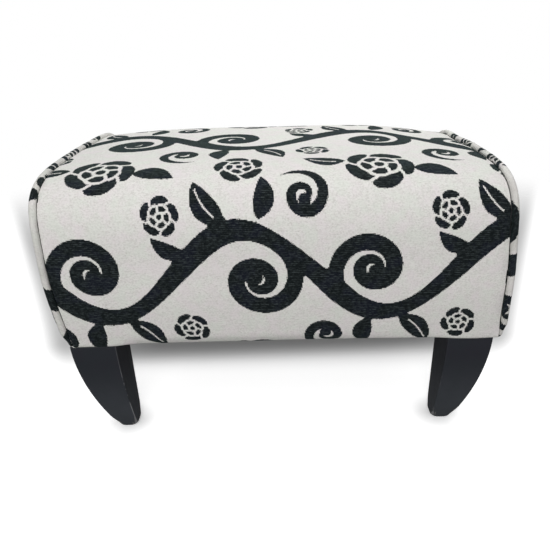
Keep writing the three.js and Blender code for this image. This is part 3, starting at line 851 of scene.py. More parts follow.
@finish
def leg_paint(paint):
    """Satin black paint over wood, chipped at the foot; thin light lines on the arrises are worn paint and
    painted highlight.
    """
    look = settings().leg
    wear = paint.signal(paint.add("Attribute", "Fac", attribute_name="arris"))
    grain = paint.noise(paint.at((260, 260, 14)), detail=5, roughness=0.6, distortion=0.4)
    brush = paint.noise(paint.at((90, 90, 9)), detail=3)
    patch = paint.noise(paint.at((45, 45, 30)), detail=4, roughness=0.65)
    fine = paint.noise(paint.at((300, 300, 140), place=(3, 5, 1)), detail=4, roughness=0.7)
    across, _, height = paint.axes(paint.add("TexCoord", "Object"))
    low = 1 - height.share(0.006, 0.03)
    dusty = 1 - height.share(0.02, 0.12)
    # The thin light line on the arrises, strongest low down and fainter on the right legs above the foot:
    # worn paint and a painted highlight.
    line = wear.share(0.66, 0.9) * patch.share(0.42, 0.54) * (1 - height.share(0.07, 0.115) * 0.75)
    line = line * (1 - across.share(-0.05, 0.05) * height.share(0.012, 0.045) * 0.85)
    chipped = wear.share(0.1, 0.6) * low * fine.share(0.56, 0.6)
    dust = dusty * (patch * 0.6 + 0.5)
    shown = paint.mixed(patch.share(0.35, 0.7) * 0.5, look.paint, look.warm_paint)
    shown = paint.mixed(dust * 0.65, shown, look.dust)
    shown = paint.mixed(line * 0.8, shown, look.rubbed)
    shown = paint.mixed(chipped, shown, look.worn)
    gloss = brush * 0.16 + patch * 0.12 + grain * 0.05 + 0.26
    paint.set(Base_Color=shown, Roughness=gloss, Specular_IOR_Level=0.14)
    paint.relief(grain * 0.06 + brush * 0.08 - chipped * 0.12, 0.6)


@finish
def pine(paint, along):
    """Planed pine: rings of a wavy pith line, running along one axis of the stool."""
    early, late_wood, pale, brown, dark = PINE_COLOURS
    turn = {"x": 0, "y": math.pi / 2, "slant": math.pi / 4}[along]
    x, y, z = paint.axes(paint.at(turn=(0, 0, turn)))
    drift = paint.noise(paint.vector(x * 3, y * 9, z * 9), detail=2)
    off_y, off_z = y + (drift * 0.05 + 0.02), z - (drift * 0.04 + 0.12)
    ring = ((off_y * off_y + off_z * off_z).sqrt() / 0.0042 + drift * 1.4).part()
    late = ring.share(0.35, 0.95) * (1 - ring.share(0.95, 1))
    fibre = paint.noise(paint.vector(x * 55, y * 1400, z * 1400), detail=4, roughness=0.7)
    flake = paint.noise(paint.vector(x * 9, y * 60, z * 60), detail=3)
    knot = 1 - paint.grains(paint.vector(x * 5.5, y * 17, z * 17)).share(0.1, 0.2)
    wood = paint.mixed(late * 0.75, early, late_wood)
    wood = paint.mixed(flake.share(0.3, 0.8) * 0.35, wood, pale)
    wood = paint.mixed(fibre.share(0.45, 0.8) * 0.3, wood, brown)
    wood = paint.mixed(knot * 0.8, wood, dark)
    paint.set(Base_Color=wood, Roughness=fibre * 0.2 + 0.5 - late * 0.1)
    paint.relief(fibre * 0.08 + late * 0.06, 0.7)


@finish
def plywood(paint):
    """Birch plywood: thin plies through its thickness and a long quiet grain on its faces."""
    pale, tan, brown, dark = PLY_COLOURS
    x, y, z = paint.axes(paint.at())
    ply = ((z - float(BOARD_LOW[2])) / PLY).floor()
    turned_ply = (ply / 2).part() * 2
    swirl = paint.noise(paint.vector(x * 4, y * 22, ply * 7), detail=3, distortion=0.8)
    band = ((swirl * 9).part() - 0.5) * 2
    along = paint.noise(paint.vector(x * 40, y * 900, z * 1700), detail=4)
    face = paint.mixed(abs(band).share(0.1, 0.9) * 0.5, pale, tan)
    face = paint.mixed(along.share(0.4, 0.8) * 0.4, face, brown)
    face = paint.mixed(turned_ply * 0.45, face, dark)
    paint.set(Base_Color=face, Roughness=along * 0.2 + 0.5)
    paint.relief(along * 0.06, 0.7)


@finish
def foam(paint):
    """Pale open-cell foam with small pores and a few large ones."""
    cream, tan, brown, dark = FOAM_COLOURS
    where = paint.at()
    cells = paint.grains(where, 700)
    pores = paint.grains(where, 190)
    tone = paint.noise(where, 12, detail=3)
    body = paint.mixed(tone.share(0.35, 0.7) * 0.6, cream, tan)
    # Painted shade: darker in the pores and in the middles of the small cells, where the relief lies low.
    body = paint.mixed((1 - pores.share(0.06, 0.3)) * 0.6, body, dark)
    paint.set(
        Base_Color=paint.mixed((1 - cells.share(0.1, 0.5)) * 0.35, body, brown),
        Roughness=0.95,
        Subsurface_Weight=0.15,
        Subsurface_Radius=(0.004, 0.003, 0.002),
    )
    paint.relief(cells * 0.5 + pores.share(0, 0.3) * 0.6)


@finish
def polyester_padding(paint):
    """White polyester wadding: a tangle of long fibres in soft tufts."""
    bright, white, grey = WADDING_COLOURS
    tuft = paint.noise(paint.at(), 38, detail=4, roughness=0.6, distortion=1.2)
    fibre = paint.noise(paint.at((900, 260, 420), turn=(0.3, 0.5, 0.4)), 1, detail=5, distortion=3)
    cross = paint.noise(paint.at((240, 880, 510), turn=(0.6, 0.2, 0.9)), 1, detail=5, distortion=3)
    strand = (fibre - 0.5) * (fibre - 0.5) + (cross - 0.5) * (cross - 0.5)
    # Painted shade: the wadding is greyer where its tufts lie low.
    body = paint.mixed(tuft.share(0.3, 0.7), grey, white)
    body = paint.mixed(strand.share(0, 0.02) * 0.3, bright, body)
    paint.set(Base_Color=body, Roughness=1.0, Sheen_Weight=0.5, Sheen_Roughness=0.4)
    paint.relief(tuft * 2.2 + (1 - strand.share(0, 0.03)) * 0.3)


@finish
def dust_cloth_black(paint):
    """Black spun-bonded cloth: fibres pressed together in a lattice of small welded points."""
    look = settings().underside
    x, y, _ = paint.axes(paint.at())
    right, left = (x + y) / WELD_STEP, (x - y) / WELD_STEP
    point = ((right * TURN).sin() * (left * TURN).sin()).share(0.35, 0.7)
    fibre = paint.noise(paint.at((620, 620, 40)), 1, detail=5, distortion=2.5)
    cloud = paint.noise(paint.at((28, 28, 5)), 1, detail=3)
    tone = fibre.share(0.42, 0.7) * 0.5 + cloud * 0.3
    body = paint.mixed(tone, look.black, look.fibre)
    paint.set(Base_Color=paint.mixed(point * 0.7, body, look.weld), Roughness=0.78 - point * 0.2)
    paint.relief(fibre * 0.12 + cloud * 0.2 - point * 0.16)


@finish
def zinc_steel(paint):
    """Bright zinc on steel, clouded and finely scratched."""
    cloud = paint.noise(paint.at(), 160, detail=3)
    scratch = paint.noise(paint.at((2200, 300, 1200), turn=(0.2, 0.4, 0.7)), 1, detail=3)
    bright, zinc, dull = STEEL_COLOURS
    tone = paint.mixed(cloud.share(0.35, 0.7) * 0.6, zinc, dull)
    paint.set(
        Base_Color=paint.mixed(scratch.share(0.6, 0.8) * 0.3, tone, bright),
        Metallic=1.0,
        Roughness=cloud * 0.22 + scratch * 0.14 + 0.16,
    )
    paint.relief(scratch * 0.02)


# The cover's outline, how finely it is stepped, and what the stuffing does to it

OUTLINE_STEPS = 500
LOW_POINTS, HIGH_POINTS = 18, 104
# The coarse copy of the main cover that is blown up as cloth, the part of its length that shows the
# full swelling, and how much the answer counts beside the formula.
PULL_COLUMNS, PULL_ROWS = 61, 49
PULL_MIDDLE = slice(25, 36)
PULL_SHARE = 0.38
# How much deeper and wider the dip is at the right seam than on average, as shares.
TUCK_SLANT, TUCK_WIDTH_SLANT = 0.45, 0.4


def levels(cover):
    """The heights of the hem and of the top's outline."""
    return RAIL_LOW[2] - cover.thickness, COVER_HIGH[2] - cover.top_fullness


def hem_depth(cover):
    """How far from the middle the outside of the front and back hems lies."""
    return -RAIL_LOW[1] + cover.stuffing


def half_outline(cover):
    """The cover's outside seen from the front left end, from the front hem's raw edge to the top.

    The hem lies flat under the rail and a quarter circle folds it up. The wall leans out by a sine of
    its height, and a superellipse carries it over to the middle of the top. The (y, z) points are
    evenly spaced in two runs, close together round the fold.
    """
    hem, top = levels(cover)
    hem_y = hem_depth(cover)
    shoulder_y, shoulder = hem_y + cover.shoulder_fullness, hem + cover.shoulder_height
    share = np.linspace(0, 1, OUTLINE_STEPS)
    turn = share * math.pi / 2
    near = share**3 / (share**3 + (1 - share) ** 3) * math.pi / 2
    flat = [(hem_y - cover.hem_turn, hem), (hem_y - cover.hem_radius, hem)]
    fold_y = hem_y - cover.hem_radius * (1 - np.sin(turn))
    fold = np.stack([fold_y, hem + cover.hem_radius * (1 - np.cos(turn))], axis=1)
    wall_z = fold[-1, 1] + (shoulder - fold[-1, 1]) * share
    wall = np.stack([hem_y + cover.shoulder_fullness * np.sin(turn), wall_z], axis=1)
    dome_y = shoulder_y * np.cos(near) ** (2 / cover.top_power)
    dome_z = shoulder + (top - shoulder) * np.sin(near) ** (2 / cover.top_power)
    low = spread_evenly(np.concatenate([flat, fold]), LOW_POINTS)
    high = spread_evenly(np.concatenate([wall, np.stack([dome_y, dome_z], axis=1)[1:]]), HIGH_POINTS)
    return np.concatenate([low, high[1:]]) * (-1, 1), len(low) - 1


def whole_outline(cover, with_hem):
    """The whole outline, front to back: its points, outward directions and lengths along it."""
    front, fold_end = half_outline(cover)
    line = np.concatenate([front, front[-2::-1] * (-1, 1)])
    kept = slice(None) if with_hem else slice(fold_end, len(line) - fold_end)
    return line[kept], leftwards(line)[kept], lengths(line)[kept]


# The finest and the coarsest cells along the length of the cover and of its wadding.
COVER_STEPS, WADDING_STEPS = (0.8 * MM, 3.6 * MM), (2 * MM, 7 * MM)


def stations(half, finest, coarsest, growth=1.12):
    """Places from -half to half, closer together towards both ends by a growth from cell to cell."""
    reach = np.cumsum(np.minimum(finest * growth ** np.arange(200), coarsest))
    count = int(np.searchsorted(reach, half)) + 1
    places = reach[:count] * half / reach[count - 1]
    return np.concatenate([-half + np.concatenate([[0], places]), half - places[-2::-1], [half]])


def swelling(cover, line, x):
    """How full the stuffing is round the outline, and the share of it at each x, nothing at the seams."""
    hem, top = levels(cover)
    wall = np.clip((line[:, 1] - hem) / cover.shoulder_height, 0, 1)
    rise = smooth(hem + cover.shoulder_height, top, line[:, 1])
    full = cover.wall_fullness * wall + (cover.top_fullness - cover.wall_fullness) * rise
    return full[None, :], 1 - np.abs(x[:, None] / COVER_HIGH[0]) ** cover.crown_power


def wrapped(cover, x, with_hem, depth, pull=None):
    """Rows of points along x for the outline moved inwards by a depth.

    The surface is the outline, plus its outward direction times the swelling, less a dip along each
    seam that fades as the square exponential of the distance from it, and is deeper and wider at the
    right seam. pull adds to the swelling.
    """
    line, out, _ = whole_outline(cover, with_hem)
    full, share = swelling(cover, line, x)
    if pull is not None:
        share = share * (1 - PULL_SHARE) + pull * PULL_SHARE
    lift = full * share
    end = np.sign(x[:, None])
    beside = (COVER_HIGH[0] - np.abs(x[:, None])) / (cover.tuck_width * (1 + TUCK_WIDTH_SLANT * end))
    dip = cover.tuck * (1 + TUCK_SLANT * end) * np.exp(-(beside**2))
    standing = np.clip((line[:, 1] - RAIL_LOW[2]) / cover.shoulder_height * 3, 0, 1)[None, :]
    move = (lift - dip * standing - depth)[..., None]
    flat = line[None] + out[None] * move
    return np.concatenate([np.broadcast_to(x[:, None, None], (*flat.shape[:2], 1)), flat], axis=2)


@cache
def pull_grid(_sizes):
    """A coarse copy of the cover, held at its seams and hems, is blown up as cloth. The answer is kept
    until one of the cover's sizes changes.
    """
    cover = settings().cover
    x = np.linspace(-COVER_HIGH[0], COVER_HIGH[0], PULL_COLUMNS)
    surface = wrapped(cover, x, False, 0)
    picks = np.linspace(0, surface.shape[1] - 1, PULL_ROWS).round().astype(int)
    share = inflated(surface[:, picks])
    middle = np.abs(share[PULL_MIDDLE]).mean(axis=0, keepdims=True)
    return np.clip(blurred(share / np.maximum(middle, 0.25), 2), 0, 1.15)


def pulled(x, rows):
    """That share at each place of x, which spans the cover, for so many rows from hem to hem."""
    sizes = (getattr(settings().cover, name) for name in FOOTSTOOL_PG_cover.__annotations__)
    down = np.interp(x, (x[0], x[-1]), (0, PULL_COLUMNS - 1))
    return read_at(pull_grid(tuple(sizes)), down, np.linspace(0, PULL_ROWS - 1, rows))


def thickened(grid, thickness):
    """The grid moved inwards along its own normals."""
    return grid + normals(grid) * thickness


def rumpled(rows, columns, seed, coarse, passes):
    """Soft unevenness: seeded noise on a coarse grid, blurred, from -1 to 1."""
    field = np.random.default_rng(seed).uniform(-1, 1, coarse)
    field = blurred(stretched(field, rows, columns), passes)
    return field / np.abs(field).max()


def smooth(low, high, value):
    """0 below low, 1 above high, and a smooth step between them."""
    share = np.clip((value - low) / (high - low), 0, 1)
    return share * share * (3 - 2 * share)


# Where the seams stray and the stuffing sinks: the ends of smooth steps of x, y and z in metres,
# and the middles and widths of bells.
FRONT_STEP, BACK_STEP = (-0.15, -0.03), (0, 0.12)
FRONT_BELL, BULGE_BELL = (-0.03, 0.06), (0.45, 0.17)
FRONT_MORE = 0.28
SLUMP_STEPS = (0.12, 0.24), (-0.03, 0.08), (0.25, 0.31)
# The same for the fuller fold between the legs and for the hem's hang at its right end.
ROLL_LEFT, ROLL_MIDDLE, ROLL_RIGHT = (-0.205, -0.165), (0.03, 0.16), (0.16, 0.2)
ROLL_LOSS = 0.6
HANG_BELL, HANG_HEIGHT, HANG_FRONT = (0.222, 0.028), 0.02, (0, 0.01)
DROOP_REACH = 12 * MM


def bell(middle, width, value):
    """1 in the middle, falling off as the square exponential of the distance over the width."""
    return np.exp(-(((value - middle) / width) ** 2))


def settled(cover, points, share=1.0):
    """The points moved as hand-sewn seams stray and used stuffing sinks.

    With u the share of the height from the hem to the top, they move along x by the foot's sway
    times (1 - u)^3 near the front and the top's times u^2, and a bell of the height moves both
    seams outwards; share scales this. The back right corner sinks by smooth steps of x, y and z.
    """
    x, y, z = np.moveaxis(points, -1, 0)
    hem, top = levels(cover)
    u = np.clip((z - hem) / (top - hem), 0, 1)
    side = x / COVER_HIGH[0]
    more = 1 + FRONT_MORE * bell(*FRONT_BELL, y)
    foot = (cover.foot_sway - cover.foot_narrowing * side) * (1 - u) ** 3 * (1 - smooth(*FRONT_STEP, y))
    body = cover.top_sway * u**2 * more + cover.bulge * bell(*BULGE_BELL, u) * side
    sway = share * (foot + body * (1 - smooth(*BACK_STEP, y)))
    sink = cover.slump * math.prod(smooth(*ends, axis) for ends, axis in zip(SLUMP_STEPS, (x, y, z)))
    return points + np.stack([sway, np.zeros_like(x), -sink], axis=-1)


def rolled(cover, surface):
    """How far each point of the cover moves for its fuller fold between the legs.

    Points outside an ellipse that touches the wall and the hem move onto it, straight towards its
    middle. The share of this rises and falls by smooth steps of x. The right end hangs by a bell of x.
    """
    x, y, z = np.moveaxis(surface, -1, 0)
    height = z - levels(cover)[0]
    off_y = np.clip(1 - (hem_depth(cover) - np.abs(y)) / cover.roll_width, 0, 1)
    off_z = np.clip(1 - height / cover.roll_height, 0, 1)
    past = 1 - 1 / np.maximum(np.hypot(off_y, off_z), 1)
    past *= smooth(*ROLL_LEFT, x) * (1 - ROLL_LOSS * smooth(*ROLL_MIDDLE, x)) * (1 - smooth(*ROLL_RIGHT, x))
    hang = cover.right_hang * bell(*HANG_BELL, x) * bell(0, HANG_HEIGHT, height) * smooth(*HANG_FRONT, -y)
    inwards, upwards = past * off_y * cover.roll_width, past * off_z * cover.roll_height
    return np.stack([np.zeros_like(x), -np.sign(y) * inwards, upwards - hang], axis=-1)


class FOOTSTOOL_OT_cover(bpy.types.Operator):
    """Makes the main cover, one length of fabric from the front hem over the top to the back hem"""

    bl_idname = "footstool.cover"
    bl_label = "Main cover"

    def execute(self, context):
        cover = settings().cover
        x = stations(COVER_HIGH[0], *COVER_STEPS)
        line, _, along = whole_outline(cover, True)
        bare = len(whole_outline(cover, False)[0])
        edge = (len(line) - bare) // 2
        pull = np.ones((len(x), len(line)))
        pull[:, edge:-edge] = pulled(x, bare)
        uneven = rumpled(len(x), len(line), 11, (17, 25), 6) * cover.unevenness
        outer = wrapped(cover, x, True, -uneven * (pull > 0.02), pull)
        inner = outer - (wrapped(cover, x, True, 0) - wrapped(cover, x, True, cover.thickness))
        # The folded hems hang a little, more in some places than in others.
        low = (rumpled(len(x), 2, 17, (15, 2), 3)[:, :1] + 1) / 2 * cover.droop
        for fold in (along[edge], along[-1 - edge]):
            hang = low * bell(fold, DROOP_REACH, along)
            outer[..., 2] -= hang
            inner[..., 2] -= hang
        moved = rolled(cover, wrapped(cover, x, True, 0, pull))
        outer, inner = outer + moved, inner + moved
        points, faces = sheet_between(settled(cover, outer), settled(cover, inner))
        weave = np.stack(np.broadcast_arrays(x[:, None], along[None]), axis=-1).reshape(-1, 2)
        both = np.tile(weave, (2, 1))
        piece = new_piece("seat_cover", points, faces, cover_fabric(), "cover_fabric", uv=both)
        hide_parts("main_cover")
        size = (x[-1] - x[0], float(along[-1]))
        return {"FINISHED"}


def panel(cover, depth, half_y, face_x, fullness, grid):
    """A crowned panel of so many rows and columns that fills the outline moved inwards by a depth.

    Straight lines between its four edges (a Coons patch) place the points, and a rounded power of
    the distance from the edges, or the simulated share, swells it outwards along x.
    """
    rows, columns = grid
    line, out, _ = whole_outline(cover, False)
    edge = line - out * depth
    edge[:, 0] = np.clip(edge[:, 0], -half_y, half_y)
    half = len(edge) // 2
    slope = np.abs(out[: half + 1, 0]) - np.abs(out[: half + 1, 1])
    corner = int(np.argmin(np.abs(slope)))
    left = spread_evenly(edge[: corner + 1], rows)
    right = left * (-1, 1)
    top = spread_evenly(edge[corner : len(edge) - corner], columns)
    bottom = np.linspace(left[0], right[0], columns)
    a = np.linspace(0, 1, columns)[None, :, None]
    b = np.linspace(0, 1, rows)[:, None, None]
    flat = (1 - b) * bottom[None] + b * top[None] + (1 - a) * left[:, None] + a * right[:, None]
    corners = (1 - a) * (1 - b) * left[0] + a * (1 - b) * right[0]
    flat = flat - corners - (1 - a) * b * left[-1] - a * b * right[-1]
    full = ((1 - np.abs(2 * a - 1) ** 8) * (1 - np.abs(2 * b - 1) ** 6)) ** 0.7
    x = face_x + fullness * full
    return np.concatenate([x, flat], axis=2)


# Rows and columns of an end panel, of its coarse copy, and of its pad. The panel's lowest rows are the
# ones turned under the rail and the ones of the fold.
PANEL_GRID, TRIAL_GRID, PAD_GRID = (96, 104), (33, 37), (56, 60)
UNDER_ROWS, FOLD_ROWS = 7, 9
TRIAL_SHARE = 0.4
TRIAL_FULLNESS = 0.5 * MM


class FOOTSTOOL_OT_ends(bpy.types.Operator):
    """Makes the two end panels, blown up over their pads and turned under the end rails"""

    bl_idname = "footstool.ends"
    bl_label = "End panels"

    def execute(self, context):
        cover = settings().cover
        face_x = RAIL_HIGH[0] + cover.stuffing
        inset = CORD_RADIUS + cover.seam_gap
        wall = panel(cover, inset, 1, face_x, cover.end_fullness, PANEL_GRID)
        share = (wall[..., 0] - face_x) / cover.end_fullness
        coarse = panel(cover, inset, 1, face_x, TRIAL_FULLNESS, TRIAL_GRID)
        blown = stretched(np.clip(inflated(coarse), 0, 1) ** 0.72, *PANEL_GRID)
        share = share * (1 - TRIAL_SHARE) + blurred(blown, 2) * TRIAL_SHARE
        uneven = rumpled(*PANEL_GRID, 23, (9, 11), 8) * cover.unevenness
        wall[..., 0] = face_x + cover.end_fullness * share + uneven * np.clip(share * 4, 0, 1)

        # Below the panel: straight down, a quarter circle, and flat under the rail between the hems.
        hem, _ = levels(cover)
        radius = min(cover.hem_radius, face_x - COVER_HIGH[0] - LAYER_GAP)
        turn = np.linspace(0, math.pi / 2, FOLD_ROWS)
        fold_x = face_x - radius + radius * np.sin(turn)
        fold_z = hem + radius - radius * np.cos(turn)
        flat_x = np.linspace(face_x - cover.hem_turn, fold_x[0] - cover.fold_gap, UNDER_ROWS)
        low_x = np.concatenate([flat_x, fold_x])
        low_z = np.concatenate([np.full(UNDER_ROWS, hem), fold_z])
        narrow = hem_depth(cover) - cover.hem_turn - cover.seam_gap
        reach = np.repeat((narrow, wall[0, -1, 1]), (UNDER_ROWS, FOLD_ROWS))
        low_y = reach[:, None] * np.linspace(-1, 1, PANEL_GRID[1])
        below = np.stack(np.broadcast_arrays(low_x[:, None], low_y, low_z[:, None]), axis=2)
        outer = np.concatenate([below, wall])
        inner = thickened(outer, cover.thickness)
        inner[: len(below), :, 1] = below[..., 1]
        inner[:UNDER_ROWS, :, 2] = hem + cover.thickness
        up = lengths(np.stack([low_x, low_z], axis=1))
        climb = np.concatenate([np.broadcast_to(up[:, None], low_y.shape), up[-1] + wall[..., 2] - low_z[-1]])
        # The seams stray, and the stuffing behind the middle of the panel doesn't.
        loose = 1 - np.concatenate([np.zeros(below.shape[:2]), np.clip(share, 0, 1)])
        for side, sign in ENDS.items():
            turned = (settled(cover, layer * (sign, sign, 1), loose) for layer in (outer, inner))
            points, faces = sheet_between(*turned)
            weave = (np.stack([outer[..., 1], climb], axis=-1) + PANEL_CUTS[side]).reshape(-1, 2)
            both = np.tile(weave, (2, 1))
            piece = new_piece(f"end_panel_{side}", points, faces, cover_fabric(), "cover_fabric", uv=both)
            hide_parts(f"end_cover_{side}")
            lowest, highest = outer.reshape(-1, 3).min(axis=0), outer.reshape(-1, 3).max(axis=0)
            size = (float(highest[1] - lowest[1]), float(climb.max()))
            area = 0.97 * size[0] * size[1]
        return {"FINISHED"}


PIPING_RINGS, PIPING_SIDES = 420, 24


class FOOTSTOOL_OT_piping(bpy.types.Operator):
    """Makes the two pipings, a cord in a bias strip along each seam"""

    bl_idname = "footstool.piping"
    bl_label = "Piping"

    def execute(self, context):
        look, cover = settings().piping, settings().cover
        radius = CORD_RADIUS
        middle_x = float(PIPING_HIGH[0] + PIPING_LOW[0]) / 2
        path, _, _ = whole_outline(cover, False)
        end_z = PIPING_LOW[2] + look.end_rise
        foot = np.array([[path[0, 0], end_z], [path[0, 0], (end_z + path[0, 1]) / 2]])
        path = np.concatenate([foot, path, foot[::-1] * (-1, 1)])
        path = spread_evenly(path, PIPING_RINGS)
        out, along = leftwards(path), lengths(path)
        # Its ends grow thinner, lie closer to the frame and are drawn in round the cord.
        near_end = np.minimum(along, along[-1] - along)
        thin = look.end_share + (1 - look.end_share) * smooth(0, look.end_length, near_end)
        path = path - out * (radius * (1 - thin))[:, None]
        closing = thin * np.sqrt(1 - (1 - np.clip(near_end / radius / 0.5, 0, 1)) ** 2 * 0.6)
        turn = np.linspace(0, TURN, PIPING_SIDES + 1)
        wrinkle = rumpled(PIPING_RINGS, PIPING_SIDES, 7, (140, 9), 2) * look.wrinkle
        wrinkle += np.sin(along[:, None] / look.wrinkle_step + turn[None, :-1]) * look.wrinkle * 0.35
        reach = (radius - look.wrinkle * 1.4 + wrinkle) * closing[:, None]
        side, up = np.sin(turn[:-1]), -np.cos(turn[:-1])
        c, s = math.cos(look.bias), math.sin(look.bias)
        strip = np.stack(np.broadcast_arrays(along[:, None], (radius * turn)[None]), axis=-1)
        weave = strip @ np.array([[c, s], [-s, c]])
        for end, sign in ENDS.items():
            rings = np.empty((PIPING_RINGS, PIPING_SIDES, 3))
            rings[..., 0] = sign * (middle_x - radius * (1 - thin)[:, None] + reach * side)
            rings[..., 1:] = path[:, None] + out[:, None] * (reach * up)[..., None]
            points, faces, maps = lofted(settled(cover, rings), weave + STRIP_CUTS[end])
            piece = new_piece(f"piping_cord_{end}", points, faces, piping_fabric(), "piping_fabric", uv=maps)
            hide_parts(f"piping_{end}")
        return {"FINISHED"}


# A leg's rings: how many go round the foot and up the sides; the points of an upright arris, and how
# far past it the rubbing and the painted highlight show; and the rings at the foot that are worn all
# round, and how much.
FOOT_RINGS, SIDE_RINGS, ARRIS_POINTS = 9, 56, 7
WEAR_MARGIN = 2.2 * MM
WORN_RINGS, FOOT_WEAR = 4, 0.8


class FOOTSTOOL_OT_legs(bpy.types.Operator):
    """Makes the four legs, plumb inside and curved in to a small foot outside"""

    bl_idname = "footstool.legs"
    bl_label = "Legs"

    def execute(self, context):
        look = settings().leg
        for corner, signs in CORNERS.items():
            low, high = box(f"leg_{corner}")
            height, side = high[2] - low[2], high[0] - low[0]
            inner_corner = np.where(np.array(signs) > 0, low[:2], high[:2])
            z = look.foot_inner_round * (1 - np.cos(np.linspace(0, math.pi / 2, FOOT_RINGS)))
            sides = np.linspace(z[-1], height - look.top_bevel_height, SIDE_RINGS)
            z = np.concatenate([z, sides[1:], [height]])
            outer = side - (side - look.foot_side) * (1 - z / height) ** look.power
            outer -= fallen_in(look.foot_outer_round, z)
            inner = fallen_in(look.foot_inner_round, z)
            outer[-1] -= look.top_bevel
            inner[-1] += look.top_bevel
            arris = look.foot_arris + (look.arris - look.foot_arris) * smooth(0, look.foot_wear, z)
            rings, wear = rounded_squares(outer, inner, arris)
            rings = np.concatenate([rings, np.repeat(z[:, None, None], rings.shape[1], 1)], axis=2)
            if signs[0] > 0:
                up = (z / height)[:, None]
                rings[..., 0] += look.right_spread * (up + (1 - up) * rings[..., 0] / outer[:, None])
            # The hole for the bolt, bored down from the top.
            middle = np.array([look.bolt_inset, look.bolt_inset])
            spoke = rings[-1, :, :2] - middle
            spoke /= np.linalg.norm(spoke, axis=1, keepdims=True)
            hole = np.concatenate([middle + spoke * look.bolt_hole, np.full((len(spoke), 1), height)], axis=1)
            bottom = hole - (0, 0, look.bolt_depth)
            rings = np.concatenate([rings, hole[None], bottom[None]])
            wear = np.concatenate([np.repeat(wear[None], len(z), 0), np.zeros((2, len(wear)))])
            wear[:WORN_RINGS] = np.maximum(wear[:WORN_RINGS], FOOT_WEAR)
            down = 1 - rings[..., 2] / height
            rings = rings * (*signs, 1) + (*inner_corner, low[2])
            rings[..., 0] += (look.sway - look.lean * signs[0]) * down
            points, faces, _ = lofted(rings)
            marks = {"arris": np.concatenate([wear.ravel(), [0.5, 0]])}
            name = f"curved_leg_{corner}"
            piece = new_piece(name, points, faces, leg_paint(), "black_leg_paint", marks=marks)
            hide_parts(f"leg_{corner}")
        return {"FINISHED"}


def fallen_in(radius, level):
    """How far a quarter round at the bottom lies behind its side, at each level."""
    left = np.clip(radius - level, 0, radius)
    return radius - np.sqrt(radius**2 - left**2)


def rounded_squares(outer, inner, radius):
    """One ring a level: a square from inner to outer on both axes, its corners quarter circles.

    outer, inner and radius hold one number a level. The second answer is the wear round a ring, which
    also places the painted highlight: 1 in the middle of a corner, and falling off straight to a point
    that lies a margin past it.
    """
    steps, margin = ARRIS_POINTS, WEAR_MARGIN
    quarter = np.arange(4)[:, None]
    angle = (quarter + np.concatenate([[0], np.linspace(0, 1, steps), [1]])[None]) * math.pi / 2
    slide = np.concatenate([[-margin], np.zeros(steps), [margin]])
    far = np.array([[1, 1], [0, 1], [0, 0], [1, 0]])[None, :, None]
    low, high = (inner + radius)[:, None, None, None], (outer - radius)[:, None, None, None]
    middle = low + (high - low) * far
    reach = np.stack([np.cos(angle), np.sin(angle)], axis=-1) * radius[:, None, None, None]
    along = np.stack([-np.sin(angle), np.cos(angle)], axis=-1) * slide[None, :, None]
    rings = middle + reach + along[None]
    wear = np.tile(np.concatenate([[0], 1 - np.abs(np.linspace(-0.6, 0.6, steps)), [0]]), 4)
    return rings.reshape(len(outer), -1, 2), wear


FOAM_COLUMNS, FOAM_BASE_COLUMNS = 69, 26


class FOOTSTOOL_OT_stuffing(bpy.types.Operator):
    """Makes the foam seat, the wadding wrapped over it and the wadding of the two ends"""

    bl_idname = "footstool.stuffing"
    bl_label = "Foam and wadding"

    def execute(self, context):
        cover = settings().cover
        gap = LAYER_GAP
        half_x, half_y = RAIL_HIGH[0], -RAIL_LOW[1]

        x = stations(COVER_HIGH[0], *WADDING_STEPS)
        bare = len(whole_outline(cover, False)[0])
        pull = pulled(x, bare)
        outer = wrapped(cover, x, False, cover.thickness + gap, pull)
        outer += rolled(cover, wrapped(cover, x, False, 0, pull))
        inner = wrapped(cover, x, False, cover.stuffing - gap, pull)
        inner[..., 1] = np.clip(inner[..., 1], -half_y - gap, half_y + gap)
        points, faces = sheet_between(settled(cover, outer), inner)
        wadding = new_piece("wrap_wadding", points, faces, polyester_padding(), "polyester_padding")
        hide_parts("wrap_padding")

        x = np.linspace(-half_x, half_x, FOAM_COLUMNS)
        loose = wrapped(cover, x, False, cover.stuffing, pulled(x, bare))
        loose[..., 1] = np.clip(loose[..., 1], -half_y, half_y)
        kept = (loose[..., 2] > BOARD_HIGH[2] + 1 * MM).all(axis=0)
        loose = loose[:, kept]
        floor = np.linspace(loose[:, -1], loose[:, 0], FOAM_BASE_COLUMNS, axis=1)
        floor[..., 2] = BOARD_HIGH[2]
        points, faces, _ = lofted(np.concatenate([loose, floor], axis=1))
        block = new_piece("foam_block", points, faces, foam(), "foam")
        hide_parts("foam_pad")

        face_x = half_x + cover.stuffing - cover.thickness - gap
        fullness = cover.end_fullness - 1 * MM
        outer = panel(cover, cover.stuffing, half_y, face_x, fullness, PAD_GRID)
        inner = outer.copy()
        inner[..., 0] = half_x + gap
        loose = 1 - (outer[..., 0] - face_x) / fullness
        for end, sign in ENDS.items():
            layers = (outer, loose), (inner, 0)
            turned = (settled(cover, layer * (sign, sign, 1), share) for layer, share in layers)
            points, faces = sheet_between(*turned)
            name = f"end_wadding_{end}"
            piece = new_piece(name, points, faces, polyester_padding(), "polyester_padding")
            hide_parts(f"end_padding_{end}")
        return {"FINISHED"}


CLOTH_GRID = (121, 81)
# The wire of a staple from one tip to the middle of its crown, in half crowns and wire widths.
STAPLE_BEND = (-1, 1.4), (-1, -0.35), (-0.93, -0.62), (-0.8, -0.7)


def centred(reach, pitch):
    """Places a pitch apart on both sides of the middle, as many as fit within a reach of it."""
    places = np.arange(-reach + pitch / 2, reach, pitch)
    return places - places.mean()


